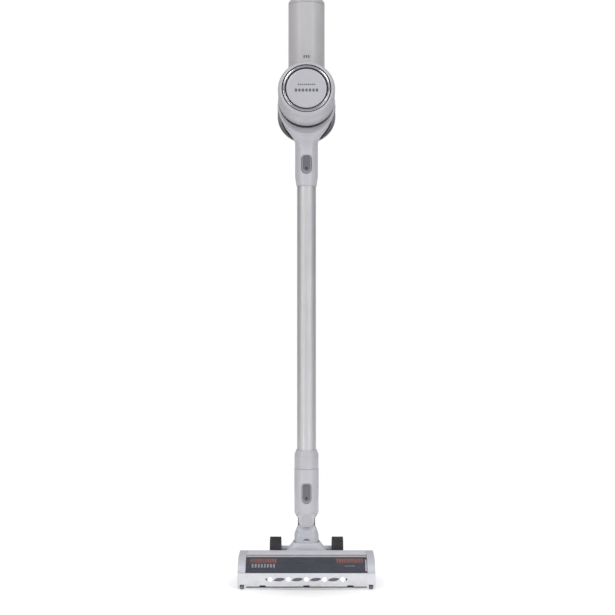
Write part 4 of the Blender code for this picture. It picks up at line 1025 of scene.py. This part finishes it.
def window_marks():
    """Plain rows printed on the window: rounded pale bars on its left, small dots on its right."""
    for count, pitch, half, middle, low, high in ((8, 5.6, 1.7, -79.0, 39.4, 45.2), (7, 2.7, 0.7, 79.5, 41.0, 42.8)):
        for k in range(count):
            x = middle + pitch * (k - (count - 1) / 2)
            mark = window_film(160, -0.12, 0.3, 1, (low, high), (x - half, x + half))
            piece(f"window_mark_{count}_{k}", mark, BADGE, HEAD, bevel=0.1)


def floor_head():
    for label, side in SIDES:
        cheek(f"cheek_{label}", f"end_cap_{label}", side)
    top_cover()
    window()
    window_marks()
    combs()
    bumper()
    lights()
    brush()
    underside()


def bumper():
    """The front wall, pierced for the lamps, with a groove and notches along its foot."""
    foot = BUMPER_LOW.z
    front = curve((-103.9, foot), (-107.9, 17.5), (-104.3, SEAM_Z - GAP), 20)
    wall = front + [(-101.2, SEAM_Z - GAP), (-101.2, 8), (-97, 8), (-97, foot)]
    corner = front + [(-94, SEAM_Z - GAP), (-94, foot)]
    joins = [side_prism(corner, mirrored((CHEEK_INNER, HEAD_HALF), side)) for side in (-1, 1)]
    cuts = [front_prism(shape, (-110, -100)) for shape in lamp_openings()]
    groove = (-CHEEK_INNER + 1.5, CHEEK_INNER - 1.5)
    cuts.append(box(groove, (-110, -99.0), (4.0, 6.3)))
    # Painted shadow: a near-black strip fills the groove nearly flush, standing for the groove's shade.
    piece("foot_groove_painted_shadow", box(groove, (-103.7, -98.5), (4.1, 6.2)), SEAM_AND_PAINTED_SHADOW, HEAD)
    for x in (-80, 0, 80):
        cuts.append(front_prism([(x - 6.4, 4.3), (x + 6.4, 4.3), (x + 5.4, 8.7), (x - 5.4, 8.7)], (-110, -99)))
    low, high = span("front_roller_left")
    for side in (-1, 1):
        cuts.append(box(mirrored((low.x - 0.5, high.x + 0.5), side), (-115, -90), (0, high.z + 0.8)))
    piece("bumper", side_prism(wall, (-HEAD_HALF, HEAD_HALF)), WHITE_LOW_PAINTED_LIGHT, HEAD,
          "front_bumper", joins=joins, cuts=cuts, bevel=0.4, sharp=38)


def leaf(x, z, half, tall, lean):
    """A slanted leaf: tips at its lower left and upper right."""
    top = curve((x - half, z - lean), (x - half * 0.35, z + tall * 1.6), (x + half, z + lean), 14)
    bottom = curve((x + half, z + lean), (x + half * 0.35, z - tall * 1.6), (x - half, z - lean), 14)
    return top + bottom[1:-1]


LAMP_PITCH, LAMP_COUNT, LAMP_Z = 33.0, 5, 19.5
LAMPS = [LAMP_PITCH * (k - (LAMP_COUNT - 1) / 2) for k in range(LAMP_COUNT)]


def lamp_openings():
    """Round holes for the lamps, slanted leaves between them and a small slot at each end."""
    shapes = [leaf(LAMP_PITCH * (k - 1.5), LAMP_Z - 0.4, 11.0, 3.9, 1.7) for k in range(LAMP_COUNT - 1)]
    shapes += [rounded(1.3, 2.1, 1.0, side * 73.2, LAMP_Z, 5) for side in (-1, 1)]
    return shapes + [arc((x, LAMP_Z), 3.05, 0, 350, 36) for x in LAMPS]


def lights():
    """Five round lamps in front of the grey backing that shows through the leaves."""
    _, high = span("led_trim")
    piece("light_backing", box((-75, 75), (high.y - 0.1, high.y + 0.3), (LAMP_Z - 3.6, LAMP_Z + 3.6)), SLOT_AND_PAINTED_SHADOW,
          HEAD, "led_trim")
    lens_low, _ = span("led_lenses")
    for k, x in enumerate(LAMPS):
        profile = [(0, 0.0), (1.2, 0.12), (2.0, 0.45), (2.6, 1.0), (2.9, 1.8), (2.9, 3.3), (0, 3.3)]
        lens = lathe(profile, along_y(x, LAMP_Z, lens_low.y - 0.9), 48)
        obj = piece(f"lamp_{k}", lens, LIGHT, HEAD)
        if k == 0:
            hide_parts("led_lenses")


def strand(mesh, root, tip, width):
    """One bristle: a slim four-sided spike from root to tip."""
    along = (tip - root).normalized()
    side = along.cross(Vector((1, 0, 0)))
    side = side.normalized() if side.length > NO_LENGTH else Vector((0, 1, 0))
    other = along.cross(side)
    corners = ((1, 1), (-1, 1), (-1, -1), (1, -1))
    base, end = ([mesh.verts.new(middle + (side * a + other * b) * size) for a, b in corners]
                 for middle, size in ((root, width), (tip, width * 0.5)))
    for i in range(4):
        j = (i + 1) % 4
        mesh.faces.new((base[i], base[j], end[j], end[i]))
    mesh.faces.new(base)
    mesh.faces.new(reversed(end))


ROOT_R, TIP_R = 13.5, 20.3


def bristles(name, node, start, material, tufts, per_tuft, width, spread):
    """Tufts of bristle along a V-shaped spiral."""
    rng = random.Random(len(name))
    mesh = bmesh.new()
    low, high = span(node)
    half = high.x - 1.5
    for k in range(tufts):
        x = half * (2 * (k + 0.5) / tufts - 1)
        turn = start + radians(170) * abs(x) / BRUSH_HALF
        for _ in range(per_tuft):
            dx, dt = rng.uniform(-spread, spread), rng.uniform(-0.05, 0.05)
            lean, reach = rng.uniform(-0.05, 0.05), TIP_R - rng.uniform(0, 0.7)
            root = BRUSH + Vector((0, ROOT_R * cos(turn + dt), ROOT_R * sin(turn + dt)))
            root.x = x + dx * 0.4
            tip = Vector((x + dx, BRUSH.y + reach * cos(turn + dt + lean), BRUSH.z + reach * sin(turn + dt + lean)))
            strand(mesh, root, tip, width)
    piece(name, mesh, material, "brush_roll", node, sharp=60)


def brush():
    core = [(11, -BRUSH_HALF), (13.6, -BRUSH_HALF), (14, -BRUSH_HALF + 0.5), (14, BRUSH_HALF - 0.5),
            (13.6, BRUSH_HALF), (11, BRUSH_HALF)]
    piece("brush_barrel", lathe(core, along_x(BRUSH), 64), DARK, "brush_roll",
          "brush_core", slot="grey_plastic")
    bristles("bristle_tufts", "bristles_orange", radians(330), ORANGE, 64, 12, 0.22, 1.2)
    bristles("fibre_strip", "bristles_dark", radians(150), BLACK_BRISTLE, 110, 14, 0.2, 1.3)


def underside():
    """Chassis with rounded edges, sole screws, and the pieces inside with their own finishes."""
    refine("head_chassis", "chassis", BASE_GREY, HEAD, 0.5)
    refine("suction_duct", "duct", GREY, HEAD, 0.3)
    refine("sole_felt_strip", "sole_strip", RUBBER, HEAD, 0.4)
    refine("brush_lock_knob", "lock_knob", GREY, "brush_lock_knob", 0.4)
    for x, y in ((-60, -46), (60, -46), (-98, -40), (98, -40), (0, 18)):
        recess = lathe([(0, 0.6), (1.2, 0.6), (1.2, -0.5), (2.6, -0.5), (3.0, -0.2), (3.0, 1.4), (0, 1.4)],
                       Matrix.Translation((x, y, 3.5)), 32)
        piece(f"sole_screw_{int(x)}_{int(y)}", recess, STEEL, HEAD, sharp=30)
    for name in ("front_roller", "rear_roller"):
        for label in ("left", "right"):
            node = f"{name}_{label}"
            refine(node, node + "_wheel", ROLLER, node, 0.3, 50)


def carried_over():
    """Finishes for the CAD nodes that stay as they are."""
    finishes = {"motor_pulley": DARK, "brush_pulley": DARK, "drive_belt": RUBBER, "brush_motor": STEEL,
        "trunnion_pin_left": STEEL, "trunnion_pin_right": STEEL, "swivel_pin_front": STEEL, "swivel_pin_rear": STEEL,
        "motor_can": COPPER, "hepa_filter": PAPER, "impeller": GREY, "battery_cells": CELL, "wand_wire_duct": DARK, }
    for node, material in finishes.items():
        data = frame["nodes"][node].data
        data.materials.clear()
        data.materials.append(material)


# ---- stage

LENS, SENSOR, CAMERA_AT = 63.1, 36.0, (0.0019, -2.07, 0.515)
PAPER_WHITE, PAPER_HALF = (0.64, 0.64, 0.64), 1000
# Floor glow by distance from the machine: dimmer close under it, as a painted shadow.
FLOOR_GLOW_WITH_PAINTED_SHADOW = [(0.05, 0.28), (0.13, 0.66)]
ROOM_ENDS = ((0.0, 0.48), (1.0, 0.14))
ROOM_MIDDLE = ((0.5, 0.55), (0.85, 0.34))
ROOM_BLUE = 1.04
LEFT_POWER, RIGHT_POWER, TOP_POWER = 16.0, 17.0, 11.0
WARM, COOL = (1.0, 0.985, 0.955), (0.965, 0.975, 1.0)


def camera():
    """Level, front on, at the distance where the whole machine fills the frame."""
    data = bpy.data.cameras.new("camera")
    data.lens, data.sensor_width = LENS, SENSOR
    made = add_object("camera", data)
    made.location = CAMERA_AT
    made.rotation_euler = (radians(90), 0, 0)
    bpy.context.scene.camera = made


def area_light(name, place, target, size, power, colour=(1, 1, 1)):
    data = bpy.data.lights.new(name, "AREA")
    data.shape, data.size, data.size_y = "RECTANGLE", size[0], size[1]
    data.energy, data.color = power, colour
    made = add_object(name, data)
    made.location = place
    made.rotation_euler = (Vector(target) - Vector(place)).to_track_quat("-Z", "Y").to_euler()


def floor_sheet():
    """White paper: bright enough to read as the page, with a painted shadow where its glow is dimmed close under the
    machine.
    """
    mesh = bmesh.new()
    bmesh.ops.create_grid(mesh, x_segments=1, y_segments=1, size=PAPER_HALF)
    floor = plain_object("floor", mesh)
    nodes = Nodes("floor_paper")
    tint = nodes.cloud((2.0, 2), [(0.3, shade(PAPER_WHITE, 0.98)), (0.7, shade(PAPER_WHITE, 1.0))])
    away = nodes.add("ShaderNodeVectorMath", operation="LENGTH")
    nodes.link(nodes.stretched((0.75, 1.0, 1.0), (0.0, 0.06, 0.0)), away.inputs[0])
    painted_glow = nodes.ramp(away.outputs["Value"], FLOOR_GLOW_WITH_PAINTED_SHADOW)
    nodes.set(Base_Color=tint, Roughness=0.7, Emission_Color=painted_glow, Emission_Strength=1.0)
    floor.data.materials.append(nodes.material)


def backdrop():
    """White page for the camera; for the lighting, a soft room that darkens to the far left and right."""
    world = bpy.data.worlds.new("studio")
    world.use_nodes = True
    tree = world.node_tree
    page = tree.nodes["Background"]
    page.inputs["Color"].default_value = (1.0, 1.0, 1.0, 1.0)
    room, place, parts, side, dim, switch, path = (tree.nodes.new("ShaderNode" + kind) for kind in (
        "Background", "TexCoord", "SeparateXYZ", "Math", "ValToRGB", "MixShader", "LightPath"))
    side.operation = "ABSOLUTE"
    elements = dim.color_ramp.elements
    for position, _ in ROOM_MIDDLE:
        elements.new(position)
    for element, (position, value) in zip(elements, sorted(ROOM_ENDS + ROOM_MIDDLE)):
        element.position, element.color = position, (value, value, value * ROOM_BLUE, 1.0)
    for source, output, target, socket in (
            (place, "Generated", parts, "Vector"), (parts, "X", side, 0), (side, "Value", dim, "Fac"),
            (dim, "Color", room, "Color"), (path, "Is Camera Ray", switch, "Fac"), (room, "Background", switch, 1),
            (page, "Background", switch, 2), (switch, "Shader", tree.nodes["World Output"], "Surface")):
        tree.links.new(source.outputs[output], target.inputs[socket])
    bpy.context.scene.world = world


def studio():
    """Two tall soft boxes, a warm one on the left and a cool one on the right, and two above."""
    bpy.context.scene.view_settings.view_transform = "Standard"
    floor_sheet()
    backdrop()
    area_light("soft_box_left", (-2.1, -1.9, 0.75), (0, 0, 0.5), (0.6, 2.4), LEFT_POWER, WARM)
    area_light("soft_box_right", (2.0, -2.3, 0.75), (0, 0, 0.5), (0.9, 2.4), RIGHT_POWER, COOL)
    for side in (-1, 1):
        area_light(f"top_box_{side + 1}", (side * 0.95, -1.5, 2.55), (0, -0.05, 0.6), (0.8, 0.5), TOP_POWER)


camera()
studio()
handheld()
wand()
neck()
hose()
yoke()
wheels()
floor_head()
carried_over()
